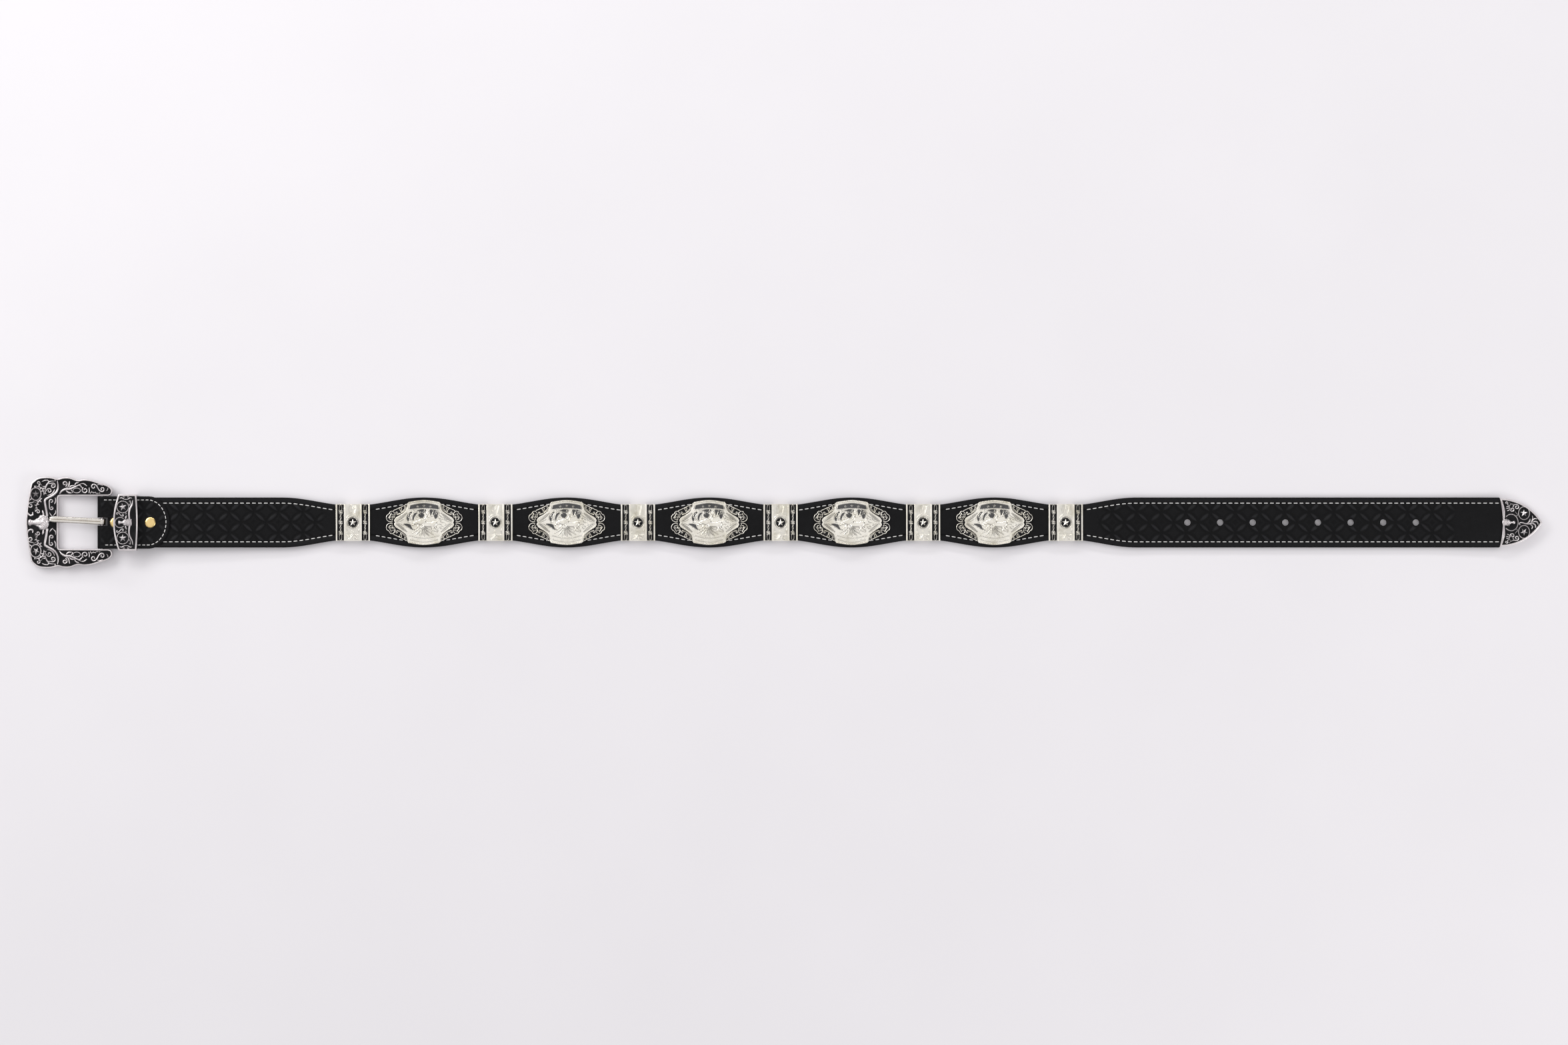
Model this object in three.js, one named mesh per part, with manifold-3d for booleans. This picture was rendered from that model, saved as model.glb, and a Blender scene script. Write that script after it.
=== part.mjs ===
// A western concho belt, laid flat and straight: cast buckle, prong and keeper at the left, pointed metal tip at
// the right. Millimetres, +Z up. The pieces are placed by stations along the belt, counted from the buckle's left
// end, and the origin is on the ground under the middle of the belt.

import * as THREE from "three";
import { mergeVertices } from "three/addons/utils/BufferGeometryUtils.js";
import Module from "manifold-3d";

const wasm = await Module();
wasm.setup();

// Driving sizes of the belt
const BELT_LENGTH = 1152;
const STRAP_WIDTH = 38;
const WAIST_WIDTH = 25.7;
const STRAP_THICKNESS = 3.4;
const SCALLOP_PITCH = 108.3;
const SLIDER_COUNT = 6;
const FIRST_SLIDER = 248.5;
const LAST_SLIDER = FIRST_SLIDER + SCALLOP_PITCH * (SLIDER_COUNT - 1);
const HOLE_COUNT = 8;
const HOLE_PITCH = 24.8;
const FIRST_HOLE = 882.6;
const HOLE_DIAMETER = 4.9;
const LEATHER_EDGE = 0.6;

// Heights above the ground, from the back of the belt to its front
const BACK_STRIP = 0.8;
const LEVEL_UNDERSIDE = 0.9;
const LEVEL_TOP = LEVEL_UNDERSIDE + STRAP_THICKNESS;
const LEAF_THICKNESS = 1.8;
const BAR_HEIGHT = 5.25;
const FOLD_RADIUS = 1.8;
const CHAPE_UNDERSIDE = BAR_HEIGHT - FOLD_RADIUS - LEAF_THICKNESS;
const CHAPE_TOP = BAR_HEIGHT + FOLD_RADIUS + LEAF_THICKNESS;
const RAISED_UNDERSIDE = BAR_HEIGHT - STRAP_THICKNESS / 2;
const ABOVE_ALL = 30;
const BELOW_ALL = -10;

// Stations of the buckle end
const BAR_STATION = 58.1;
const STRAP_START = 62.3;
const STRAP_END = 1149.6;
const CHAPE_END = 109.6;
const CHAPE_ROUND_START = 93;
const CHAPE_WIDTH = 39.8;
const SNAP_STATIONS = [68.4, 94.8];
const SNAP_DIAMETER = 8.4;
const SNAP_PLAY = 0.05;
const SNAP_FLANGE = 0.7;
const BARREL_RADIUS = 2.3;
const POST_RADIUS = 1.45;
const LEATHER_CLEARANCE = 0.4;

// Buckle
const FRAME_THICKNESS = 5;
const FRAME_TILT = -2.7;
const WINDOW_LEFT = 24.6;
const ARM_INNER = 20.2;
const BAR_RADIUS = 1.4;
const RIM_WIDTH = 0.9;
const RIM_HEIGHT = 0.9;
const RELIEF_HEIGHT = 0.8;
const RELIEF_ROOT = 0.2;
const HORN_RISE = 0.3;
const HEAD_RISE = 0.6;

// Prong
const PRONG_WIDTH = 4.8;
const PRONG_TILT = 1.1;
const PRONG_YAW = -3;
const PRONG_SIDE = 0.6;
const PRONG_LOOP_INNER = 1.7;
const PRONG_LOOP_OUTER = 2.75;
const SLOT_WIDTH = 6.1;
const SLOT_END = 64.4;

// Keeper
const KEEPER_LENGTH = 42.7;
const KEEPER_WALL = 1.2;
const KEEPER_GAP_TOP = 13.2;
const KEEPER_PLATE = 1.4;
const KEEPER_LEFT = 67.1;
const KEEPER_RIGHT = 85.8;
const KEEPER_LEFT_BULGE = 4;
const KEEPER_RIGHT_BULGE = 1;
const KEEPER_RIM_WIDTH = 1.2;
const KEEPER_RIM_HEIGHT = 0.6;
const KEEPER_CORNER = 0.3;

// Sliders and conchos
const SLIDER_LENGTH = 26;
const SLIDER_WIDTH = 28;
const SLIDER_LEG_LENGTH = 12;
const SLIDER_WALL = 0.8;
const SLIDER_PLAY = 0.1;
const SLIDER_PLATE = 1;
const SLIDER_RIB = 1.1;
const SLIDER_RIB_HEIGHT = 0.5;
const SLIDER_PANEL = 12;
const SLIDER_WIRE = 9.4;
const SLIDER_WIRE_HEIGHT = 0.6;
const SLIDER_DISC_RADIUS = 4.6;
const SLIDER_DISC_HEIGHT = 0.95;
const CONCHO_SEAT = LEVEL_TOP;
const CONCHO_BASE_THICKNESS = 1;
const CONCHO_PLATE_THICKNESS = 1.3;
const RIVET_RADIUS = 2;
const RIVET_HEAD_RADIUS = 4.5;
const RIVET_HEAD_LOW = 0.1;
const CONCHO_RIM_WIDTH = 1.1;
const CONCHO_RIM_HEIGHT = 0.35;
const FIGURE_HEIGHT = 1;

// Tip
const TIP_START = 1119.8;
const TIP_HALF_WIDTH = 18.3;
const TIP_LENGTH = BELT_LENGTH - TIP_START;
const TIP_CONCAVITY = 2.1;
const TIP_BACK = 0.8;
const TIP_POCKET_TOP = 4.5;
const TIP_FRONT = 1.1;
const TIP_RIM_WIDTH = 1.2;
const TIP_RIM_HEIGHT = 0.5;
const TIP_EDGE_WIDTH = 2.2;
const TIP_RELIEF = 0.4;
const TIP_HEAD_HEIGHT = 0.9;

// Stations where the strap starts or ends a slope
const LEVEL_START = FIRST_SLIDER - 22;
const DESCENT_START = LAST_SLIDER + 20;
const DESCENT_END = LAST_SLIDER + 80;
const TIP_SLOPE_START = TIP_START - 60;
const TIP_SLOPE_END = TIP_START - 5;
const TIP_LIFT = 0.95;

// Sides of round shapes, and steps along curved ones
const ROUND_SIDES = 12;
const BAR_SIDES = 16;
const RING_SIDES = 12;
const SCROLL_STEPS = 5;
const SCALLOP_STEPS = 10;

const finish = (color, metalness, roughness) =>
  new THREE.MeshStandardMaterial({ color, metalness, roughness, flatShading: true });
const LEATHER = finish(0x17171a, 0, 0.55);
const NICKEL = finish(0xc9c1c6, 1, 0.35);
const SILVER = finish(0xd8d3c8, 1, 0.25);
const ENAMEL = finish(0x141418, 0.4, 0.35);
const BRASS = finish(0xd9b45c, 1, 0.25);

const degrees = THREE.MathUtils.degToRad;
const at = (x, y) => new THREE.Vector2(x, y);
const smoothstep = (from, to, x) => THREE.MathUtils.smoothstep(x, from, to);

// Solids

/** A closed geometry as a solid that can be cut and joined. */
function solid(geometry) {
  const bare = geometry.clone();
  bare.deleteAttribute("normal");
  bare.deleteAttribute("uv");
  const merged = mergeVertices(bare, 1e-3);
  return new wasm.Manifold(
    new wasm.Mesh({
      numProp: 3,
      vertProperties: new Float32Array(merged.attributes.position.array),
      triVerts: new Uint32Array(merged.index.array),
    }),
  );
}

/** A named mesh of a solid, in the belt's stations. */
function piece(name, body, material) {
  const { vertProperties, triVerts } = body.getMesh();
  const geometry = new THREE.BufferGeometry()
    .setAttribute("position", new THREE.BufferAttribute(vertProperties, 3))
    .setIndex(new THREE.BufferAttribute(triVerts, 1));
  const mesh = new THREE.Mesh(geometry, material);
  mesh.name = name;
  return mesh;
}

const join = (bodies) => bodies.reduce((whole, next) => whole.add(next));
const cut = (body, tools) => tools.reduce((left, tool) => left.subtract(tool), body);

/** An outline in plan raised from one height to another, with inner outlines left open. */
function prism(points, low, high, openings = []) {
  const shape = new THREE.Shape(points);
  shape.holes = openings.map((opening) => new THREE.Path(opening));
  const geometry = new THREE.ExtrudeGeometry(shape, { depth: high - low, bevelEnabled: false });
  return solid(geometry.translate(0, 0, low));
}

/** A closed body through rings of equal count, whose two end caps are the flat outline of the ring. */
function loft(rings, capOutline) {
  const count = rings[0].length;
  const vertices = rings.flat().flatMap((p) => [p.x, p.y, p.z]);
  const indices = [];
  for (let i = 0; i + 1 < rings.length; i += 1) {
    for (let k = 0; k < count; k += 1) {
      const next = (k + 1) % count;
      const [a, b] = [i * count + k, i * count + next];
      const [c, d] = [a + count, b + count];
      indices.push(a, b, c, b, d, c);
    }
  }
  const last = (rings.length - 1) * count;
  THREE.ShapeUtils.triangulateShape(capOutline, []).forEach(([a, b, c]) => {
    indices.push(a, c, b, last + a, last + b, last + c);
  });
  const geometry = new THREE.BufferGeometry()
    .setAttribute("position", new THREE.Float32BufferAttribute(vertices, 3))
    .setIndex(indices);
  return solid(geometry);
}

/** A turned body about the upright line through (x, y): rows of radius and height from the axis back to it. */
function turned(x, y, rows) {
  const profile = rows.map(([radius, z]) => at(radius, z));
  const geometry = new THREE.LatheGeometry(profile, ROUND_SIDES).rotateX(Math.PI / 2).translate(x, y, 0);
  return solid(geometry);
}

const drill = (x, y, radius, low = BELOW_ALL, high = ABOVE_ALL) =>
  turned(x, y, [[0, low], [radius, low], [radius, high], [0, high]]);

/** A bar along Y through (x, z). */
function crossBar(x, z, radius, length) {
  return solid(new THREE.CylinderGeometry(radius, radius, length, BAR_SIDES).translate(x, 0, z));
}

const block = (x0, x1, y0, y1, z0, z1) =>
  solid(new THREE.BoxGeometry(x1 - x0, y1 - y0, z1 - z0)
    .translate((x0 + x1) / 2, (y0 + y1) / 2, (z0 + z1) / 2));

// Outlines in plan

/** The outline moved inwards by a distance. Its points run counter-clockwise. */
function inset(points, distance) {
  const count = points.length;
  return points.map((point, i) => {
    const before = point.clone().sub(points[(i + count - 1) % count]).normalize();
    const after = points[(i + 1) % count].clone().sub(point).normalize();
    const left = at(-before.y - after.y, before.x + after.x);
    const spread = Math.max(left.lengthSq() / 2, 0.5);
    return point.clone().addScaledVector(left, distance / spread);
  });
}

/** Half of an outline completed by its mirror image over the belt's centre line. */
function mirrored(half) {
  const reverse = half.filter((p) => p.y > 0).reverse();
  return [...half, ...reverse.map((p) => at(p.x, -p.y))];
}

/** A quarter outline, from the +X end to the +Y end, completed in the four quadrants. */
function fourfold(quarter) {
  const rest = quarter.filter((p) => p.x > 0).reverse().map((p) => at(-p.x, p.y));
  return mirrored([...quarter, ...rest]);
}

const arc = (cx, cy, rx, ry, from, to, steps) =>
  Array.from({ length: steps + 1 }, (_, i) => {
    const angle = degrees(from + ((to - from) * i) / steps);
    return at(cx + rx * Math.cos(angle), cy + ry * Math.sin(angle));
  });

const circle = (cx, cy, rx, ry) => arc(cx, cy, rx, ry, 0, 360 * (1 - 1 / RING_SIDES), RING_SIDES - 1);

const star = (cx, cy, radius, facing) =>
  Array.from({ length: 10 }, (_, i) => {
    const reach = i % 2 ? radius * 0.4 : radius;
    const angle = degrees(facing + 36 * i);
    return at(cx + reach * Math.cos(angle), cy + reach * Math.sin(angle));
  });

/** A tapering ribbon along a centre line, its width running from one value to another. */
function ribbon(points, startWidth, endWidth, steps) {
  const line = new THREE.SplineCurve(points);
  const sides = { left: [], right: [] };
  for (let i = 0; i <= steps; i += 1) {
    const t = i / steps;
    const centre = line.getPoint(t);
    const heading = line.getTangent(t);
    const half = THREE.MathUtils.lerp(startWidth, endWidth, t) / 2;
    sides.left.push(at(centre.x - heading.y * half, centre.y + heading.x * half));
    sides.right.push(at(centre.x + heading.y * half, centre.y - heading.x * half));
  }
  return [...sides.right, ...sides.left.reverse()];
}

/** The centre line of a scroll that winds in around (cx, cy). */
function scroll({ cx, cy, radius, from, turn }) {
  return Array.from({ length: SCROLL_STEPS + 1 }, (_, i) => {
    const t = i / SCROLL_STEPS;
    const angle = degrees(from + turn * t);
    const reach = radius * (1 - 0.72 * t);
    return at(cx + reach * Math.cos(angle), cy + reach * Math.sin(angle));
  });
}

// Leather

/** Half of the strap's width at a station: full width, with waists at the sliders and a point in the tip. */
function strapHalfWidth(station) {
  const first = FIRST_SLIDER - SCALLOP_PITCH / 2;
  const last = LAST_SLIDER + SCALLOP_PITCH / 2;
  const full = STRAP_WIDTH / 2;
  if (station > TIP_START) return tipHalfWidth(station) - SLIDER_WALL - LEATHER_CLEARANCE;
  if (station < first || station > last) return full;
  const phase = (2 * Math.PI * (station - FIRST_SLIDER)) / SCALLOP_PITCH;
  return full - ((STRAP_WIDTH - WAIST_WIDTH) * (1 + Math.cos(phase))) / 4;
}

/** The strap's underside: raised inside the chape, level over the ornaments' backs, on the ground at the holes. */
function strapUnderside(station) {
  const down = smoothstep(CHAPE_END + 2, LEVEL_START, station);
  const ground = smoothstep(DESCENT_START, DESCENT_END, station);
  const up = smoothstep(TIP_SLOPE_START, TIP_SLOPE_END, station);
  const level = THREE.MathUtils.lerp(RAISED_UNDERSIDE, LEVEL_UNDERSIDE, down);
  return level * (1 - ground) + TIP_LIFT * up;
}

/** The strap's sections stand close together where its width or height changes. */
function strapStations() {
  const row = (from, to, count) => Array.from({ length: count + 1 }, (_, i) => from + ((to - from) * i) / count);
  const scallops = SLIDER_COUNT * SCALLOP_STEPS;
  return [
    STRAP_START,
    ...row(CHAPE_END + 2, FIRST_SLIDER - SCALLOP_PITCH / 2 - 9, 6),
    ...row(FIRST_SLIDER - SCALLOP_PITCH / 2, LAST_SLIDER + SCALLOP_PITCH / 2, scallops),
    ...row(DESCENT_END - 16, DESCENT_END, 1),
    ...row(TIP_SLOPE_START, TIP_SLOPE_END, 5),
    TIP_START - 0.5,
    ...row(TIP_START + 0.2, STRAP_END, 7),
  ];
}

function strapRing(station) {
  const half = strapHalfWidth(station);
  const low = strapUnderside(station);
  const high = low + STRAP_THICKNESS;
  const edge = Math.min(LEATHER_EDGE, half / 3);
  const section = [
    [half, low + edge], [half, high - edge], [half - edge, high], [-half + edge, high],
    [-half, high - edge], [-half, low + edge], [-half + edge, low], [half - edge, low],
  ];
  return section.map(([y, z]) => new THREE.Vector3(station, y, z));
}

function makeStrap() {
  const rings = strapStations().map(strapRing);
  const body = loft(rings, rings[0].map((p) => at(p.y, p.z)));
  const holes = Array.from({ length: HOLE_COUNT }, (_, i) =>
    drill(FIRST_HOLE + HOLE_PITCH * i, 0, HOLE_DIAMETER / 2));
  const rivets = conchoStations().map((station) => drill(station, 0, RIVET_RADIUS + LEATHER_CLEARANCE));
  const snaps = SNAP_STATIONS.map((station) => drill(station, 0, BARREL_RADIUS + LEATHER_CLEARANCE));
  return piece("strap", cut(body, [...holes, ...rivets, ...snaps]), LEATHER);
}

/** The chape: one leather leaf folded round the bar, slotted for the prong, its ends half round. */
function makeChape() {
  const outer = FOLD_RADIUS + LEAF_THICKNESS;
  const fold = (radius, from, to) => arc(BAR_STATION, BAR_HEIGHT, radius, radius, from, to, 8);
  const profile = [
    at(CHAPE_END + 1, CHAPE_TOP),
    ...fold(outer, 90, 270),
    at(CHAPE_END + 1, CHAPE_UNDERSIDE),
    at(CHAPE_END + 1, CHAPE_UNDERSIDE + LEAF_THICKNESS),
    ...fold(FOLD_RADIUS, 270, 90),
    at(CHAPE_END + 1, CHAPE_TOP - LEAF_THICKNESS),
  ];
  const sheet = solid(
    new THREE.ExtrudeGeometry(new THREE.Shape(profile), { depth: CHAPE_WIDTH, bevelEnabled: false })
      .rotateX(Math.PI / 2)
      .translate(0, CHAPE_WIDTH / 2, 0),
  );
  const plan = [
    at(BAR_STATION - 10, -CHAPE_WIDTH / 2),
    ...arc(CHAPE_ROUND_START, 0, CHAPE_END - CHAPE_ROUND_START, CHAPE_WIDTH / 2, -90, 90, 12),
    at(BAR_STATION - 10, CHAPE_WIDTH / 2),
  ];
  const round = SLOT_WIDTH / 2;
  const slot = [
    at(BAR_STATION - 10, PRONG_SIDE + 0.1 - round),
    ...arc(SLOT_END - round, PRONG_SIDE + 0.1, round, round, -90, 90, 6),
    at(BAR_STATION - 10, PRONG_SIDE + 0.1 + round),
  ];
  const holes = SNAP_STATIONS.flatMap((station) => [
    drill(station, 0, BARREL_RADIUS + LEATHER_CLEARANCE, BELOW_ALL, BAR_HEIGHT),
    drill(station, 0, POST_RADIUS + LEATHER_CLEARANCE, BAR_HEIGHT, ABOVE_ALL),
  ]);
  const trimmed = sheet.intersect(prism(plan, BELOW_ALL, ABOVE_ALL));
  return piece("chape", cut(trimmed, [prism(slot, BELOW_ALL, ABOVE_ALL), ...holes]), LEATHER);
}

// Snaps

/** A snap: the cap's post stands in the barrel of the socket behind the leather. */
function makeSnap(station, number) {
  const radius = SNAP_DIAMETER / 2;
  const postEnd = CHAPE_UNDERSIDE + 0.7;
  const seat = CHAPE_TOP + SNAP_PLAY;
  const cap = turned(station, 0, [
    [0, postEnd], [POST_RADIUS, postEnd], [POST_RADIUS, seat],
    [radius, seat], [radius, seat + 0.4], [radius - 0.5, seat + 0.85], [radius / 2, seat + 1.2], [0, seat + 1.3],
  ]);
  const bottom = CHAPE_UNDERSIDE - SNAP_FLANGE;
  const shoulder = CHAPE_UNDERSIDE - SNAP_PLAY;
  const mouth = BAR_HEIGHT + STRAP_THICKNESS / 2;
  const bore = POST_RADIUS + 0.3;
  const boreEnd = CHAPE_UNDERSIDE + 0.4;
  const back = turned(station, 0, [
    [0, bottom], [radius, bottom], [radius, shoulder], [BARREL_RADIUS, shoulder],
    [BARREL_RADIUS, mouth], [bore, mouth], [bore, boreEnd], [0, boreEnd],
  ]);
  return [piece(`snap_cap_${number}`, cap, BRASS), piece(`snap_back_${number}`, back, BRASS)];
}

// Buckle

// Upper half of the frame's outline: station and distance from the centre line.
const FRAME_OUTLINE = [
  [66, 24.6], [64, 27.3], [60.8, 28.9], [55.4, 30.5], [50, 32.2], [44.6, 32.8], [40.8, 32.2], [38.2, 32.6],
  [33.8, 34.2], [28.4, 34.2], [24.6, 33.2], [21.4, 34], [17.6, 34.6], [12.2, 34.4], [8.9, 33.5], [6.2, 31.6],
  [4.3, 29.5], [3, 24], [1.1, 12], [0, 0],
];
const FRAME_WINDOW = [
  [WINDOW_LEFT, 18.7], [25.1, 19.8], [26.1, ARM_INNER], [63, 20.3], [65.3, 21.4],
];
const HEAD_OUTLINE = [
  [17.8, 4.2], [16.6, 6.1], [13.8, 6.3], [11.4, 5.5], [9.2, 3.9], [7.2, 2.7], [4.2, 2.4], [2.6, 3], [1.4, 2.2],
];
const HORN_LINE = [
  [16.2, 5.2], [14.9, 13.2], [14.2, 17.2], [17.6, 19.7], [20.3, 21.1], [23, 23.5], [24.5, 26.8], [24.2, 31.4],
];
const FRAME_STARS = [{ x: 7.4, y: 22 }];
const FRAME_SCROLLS = [
  { cx: 12.8, cy: 28.6, radius: 3.4, from: 200, turn: 330 },
  { cx: 19.4, cy: 27.4, radius: 3, from: 250, turn: -330 },
  { cx: 4.6, cy: 8.8, radius: 2.7, from: 250, turn: -330 },
  { cx: 8.2, cy: 13.6, radius: 2.9, from: 240, turn: 330 },
  { cx: 20.6, cy: 15.2, radius: 2.4, from: 100, turn: 330 },
  { cx: 31.4, cy: 28.4, radius: 3.6, from: 210, turn: -330 },
  { cx: 39.6, cy: 26.2, radius: 3.6, from: 170, turn: -330 },
  { cx: 47.2, cy: 26, radius: 3.4, from: 180, turn: 330 },
  { cx: 57.2, cy: 25.4, radius: 2.8, from: 180, turn: -330 },
];

/** Ornament on one half of the frame, as outlines in stations. */
function frameOrnament(side) {
  const place = ([x, y]) => at(x, side * y);
  const turn = (points) => (side > 0 ? points : points.slice().reverse());
  const disc = ({ x, y }) => ({ ring: [circle(x, side * y, 4.4, 4.8), circle(x, side * y, 3.7, 4.1)],
    star: star(x, side * y, 2.8, 90) });
  const scrolls = FRAME_SCROLLS.map((row) =>
    ribbon(scroll({ ...row, cy: side * row.cy, from: side * row.from, turn: side * row.turn }), 1.1, 0.7, SCROLL_STEPS));
  return { horn: turn(ribbon(HORN_LINE.map(place), 2.3, 0.9, 9)), discs: FRAME_STARS.map(disc), scrolls };
}

function makeFrame() {
  const half = FRAME_THICKNESS / 2;
  const floor = half - RIM_HEIGHT;
  const rows = (table) => table.map(([x, y]) => at(x, y));
  const upper = [...rows(FRAME_WINDOW), ...rows(FRAME_OUTLINE)];
  const outline = mirrored(upper);
  const field = inset(outline, RIM_WIDTH);
  const raise = (points, height) => prism(points, floor - RELIEF_ROOT, floor + height);
  const relief = [1, -1].flatMap((side) => {
    const { horn, discs, scrolls } = frameOrnament(side);
    return [
      raise(horn, RELIEF_HEIGHT + HORN_RISE),
      ...discs.map(({ ring }) => prism(ring[0], floor - RELIEF_ROOT, floor + RELIEF_HEIGHT, [ring[1]])),
      ...discs.map((disc) => raise(disc.star, RELIEF_HEIGHT)),
      ...scrolls.map((line) => raise(line, RELIEF_HEIGHT)),
    ];
  });
  const body = join([
    prism(outline, -half, floor),
    prism(outline, floor - RELIEF_ROOT, half, [field]),
    crossBar(BAR_STATION, 0, BAR_RADIUS, 2 * ARM_INNER + 4),
    raise(mirrored(rows(HEAD_OUTLINE)), RELIEF_HEIGHT + HEAD_RISE),
    ...relief,
  ]);
  return turnAboutBar(piece("buckle_frame", body.translate([-BAR_STATION, 0, 0]), NICKEL), FRAME_TILT);
}

/** A piece modelled round the bar, turned about it: a positive angle lifts its left end. */
function turnAboutBar(mesh, tilt, side = 0, yaw = 0) {
  mesh.rotation.set(0, degrees(tilt), degrees(yaw), "ZYX");
  mesh.position.set(BAR_STATION, side, BAR_HEIGHT);
  return mesh;
}

// Sections of the prong from the bar to its end: distance left of the bar, half width, underside and top.
const PRONG_SECTIONS = [
  { reach: 0, half: 2.4, low: 0.8, high: PRONG_LOOP_OUTER },
  { reach: 4, half: 2.4, low: 0.75, high: 2.75 },
  { reach: 20, half: 2.4, low: 0.75, high: 2.75 },
  { reach: 36, half: 2.4, low: 0.75, high: 2.7 },
  { reach: 38.6, half: 2.1, low: 0.8, high: 2.5 },
  { reach: 39.8, half: 1.5, low: 0.9, high: 2.2 },
  { reach: 40.3, half: 0.8, low: 1.1, high: 1.9 },
];

function prongRing({ reach, half, low, high }) {
  const shoulder = (high - low) * 0.45;
  const groove = 0.35;
  const section = [
    [half * 0.8, low], [half, low + 0.3], [half, high - shoulder], [half * 0.6, high], [groove, high - 0.1],
    [0, high - 0.55], [-groove, high - 0.1], [-half * 0.6, high], [-half, high - shoulder],
    [-half, low + 0.3], [-half * 0.8, low],
  ];
  return section.map(([y, z]) => new THREE.Vector3(-reach, y, z));
}

function makeProng() {
  const rings = PRONG_SECTIONS.map(prongRing).reverse();
  const shank = loft(rings, rings[0].map((p) => at(p.y, p.z)));
  const loop = crossBar(0, 0, PRONG_LOOP_OUTER, PRONG_WIDTH);
  const body = shank.add(loop).subtract(crossBar(0, 0, PRONG_LOOP_INNER, PRONG_WIDTH * 2));
  return turnAboutBar(piece("prong", body, NICKEL), PRONG_TILT, PRONG_SIDE, PRONG_YAW);
}

// Keeper

const KEEPER_STARS = [{ x: 74.4, y: 11.8 }];
const KEEPER_HEAD = [[81.5, 2.6], [79.5, 2.8], [77, 2.4], [74.4, 1.3], [72.6, 1.4], [71.9, 0.8]];
const KEEPER_HORN = [[80.4, 2.4], [79.7, 6.4], [79.5, 9.4], [81.2, 12.6], [81.9, 15.8]];
const KEEPER_SCROLLS = [
  { cx: 73.8, cy: 5.8, radius: 1.7, from: 210, turn: -330 },
  { cx: 76, cy: 18.4, radius: 1.5, from: 200, turn: -330 },
  { cx: 79, cy: 18.4, radius: 1.5, from: -20, turn: 330 },
];

/** The keeper's front plate in plan: its left side bulges, and its right side bulges a little. */
function keeperOutline() {
  const reach = KEEPER_LENGTH / 2;
  const side = (edge, bulge, ys) => ys.map((y) => at(edge + bulge * (y / reach) ** 2, y));
  const left = Array.from({ length: 9 }, (_, i) => reach * (1 - i / 4));
  const right = Array.from({ length: 5 }, (_, i) => reach * (i / 2 - 1));
  return [...side(KEEPER_LEFT, KEEPER_LEFT_BULGE, left), ...side(KEEPER_RIGHT, -KEEPER_RIGHT_BULGE, right)];
}

function makeKeeper() {
  const reach = KEEPER_LENGTH / 2;
  const start = KEEPER_LEFT + KEEPER_LEFT_BULGE + KEEPER_CORNER;
  const end = KEEPER_RIGHT - KEEPER_RIGHT_BULGE - KEEPER_CORNER;
  const floor = KEEPER_GAP_TOP + KEEPER_PLATE;
  const outline = keeperOutline();
  const raise = (points, height) => prism(points, floor - RELIEF_ROOT, floor + height);
  const relief = [1, -1].flatMap((side) => {
    const horn = ribbon(KEEPER_HORN.map(([x, y]) => at(x, side * y)), 1.7, 0.8, 6);
    const scrolls = KEEPER_SCROLLS.map((row) =>
      ribbon(scroll({ ...row, cy: side * row.cy, from: side * row.from, turn: side * row.turn }), 0.7, 0.5, SCROLL_STEPS));
    return [
      raise(side > 0 ? horn : horn.reverse(), RELIEF_HEIGHT),
      ...scrolls.map((line) => raise(line, RELIEF_HEIGHT - 0.3)),
      ...KEEPER_STARS.flatMap(({ x, y }) => [
        prism(circle(x, side * y, 4, 4), floor - RELIEF_ROOT, floor + 0.5, [circle(x, side * y, 3.4, 3.4)]),
        raise(star(x, side * y, 2.5, 90), RELIEF_HEIGHT - 0.2),
      ]),
    ];
  });
  const body = join([
    prism(outline, KEEPER_GAP_TOP, floor),
    prism(outline, floor - RELIEF_ROOT, floor + KEEPER_RIM_HEIGHT, [inset(outline, KEEPER_RIM_WIDTH)]),
    block(start, end, -reach, -reach + KEEPER_WALL, 0, KEEPER_GAP_TOP + RELIEF_ROOT),
    block(start, end, reach - KEEPER_WALL, reach, 0, KEEPER_GAP_TOP + RELIEF_ROOT),
    block(start, end, -reach, reach, 0, BACK_STRIP),
    raise(mirrored(KEEPER_HEAD.map(([x, y]) => at(x, y))), RELIEF_HEIGHT + 0.3),
    ...relief,
  ]);
  return piece("keeper", body, NICKEL);
}

// Sliders

const sliderStations = () => Array.from({ length: SLIDER_COUNT }, (_, i) => FIRST_SLIDER + SCALLOP_PITCH * i);

/** A barbed wire in plan: a thin ribbon with three knots. */
function wireOutline(x) {
  const rows = [[-12.6, 0.5], [-8.2, 1.3], [-4.1, 0.4], [0, 1.3], [4.1, 0.4], [8.2, 1.3], [12.6, 0.5]];
  const right = rows.map(([y, half]) => at(x + half, y));
  const left = rows.map(([y, half]) => at(x - half, y)).reverse();
  return [...right, ...left];
}

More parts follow.
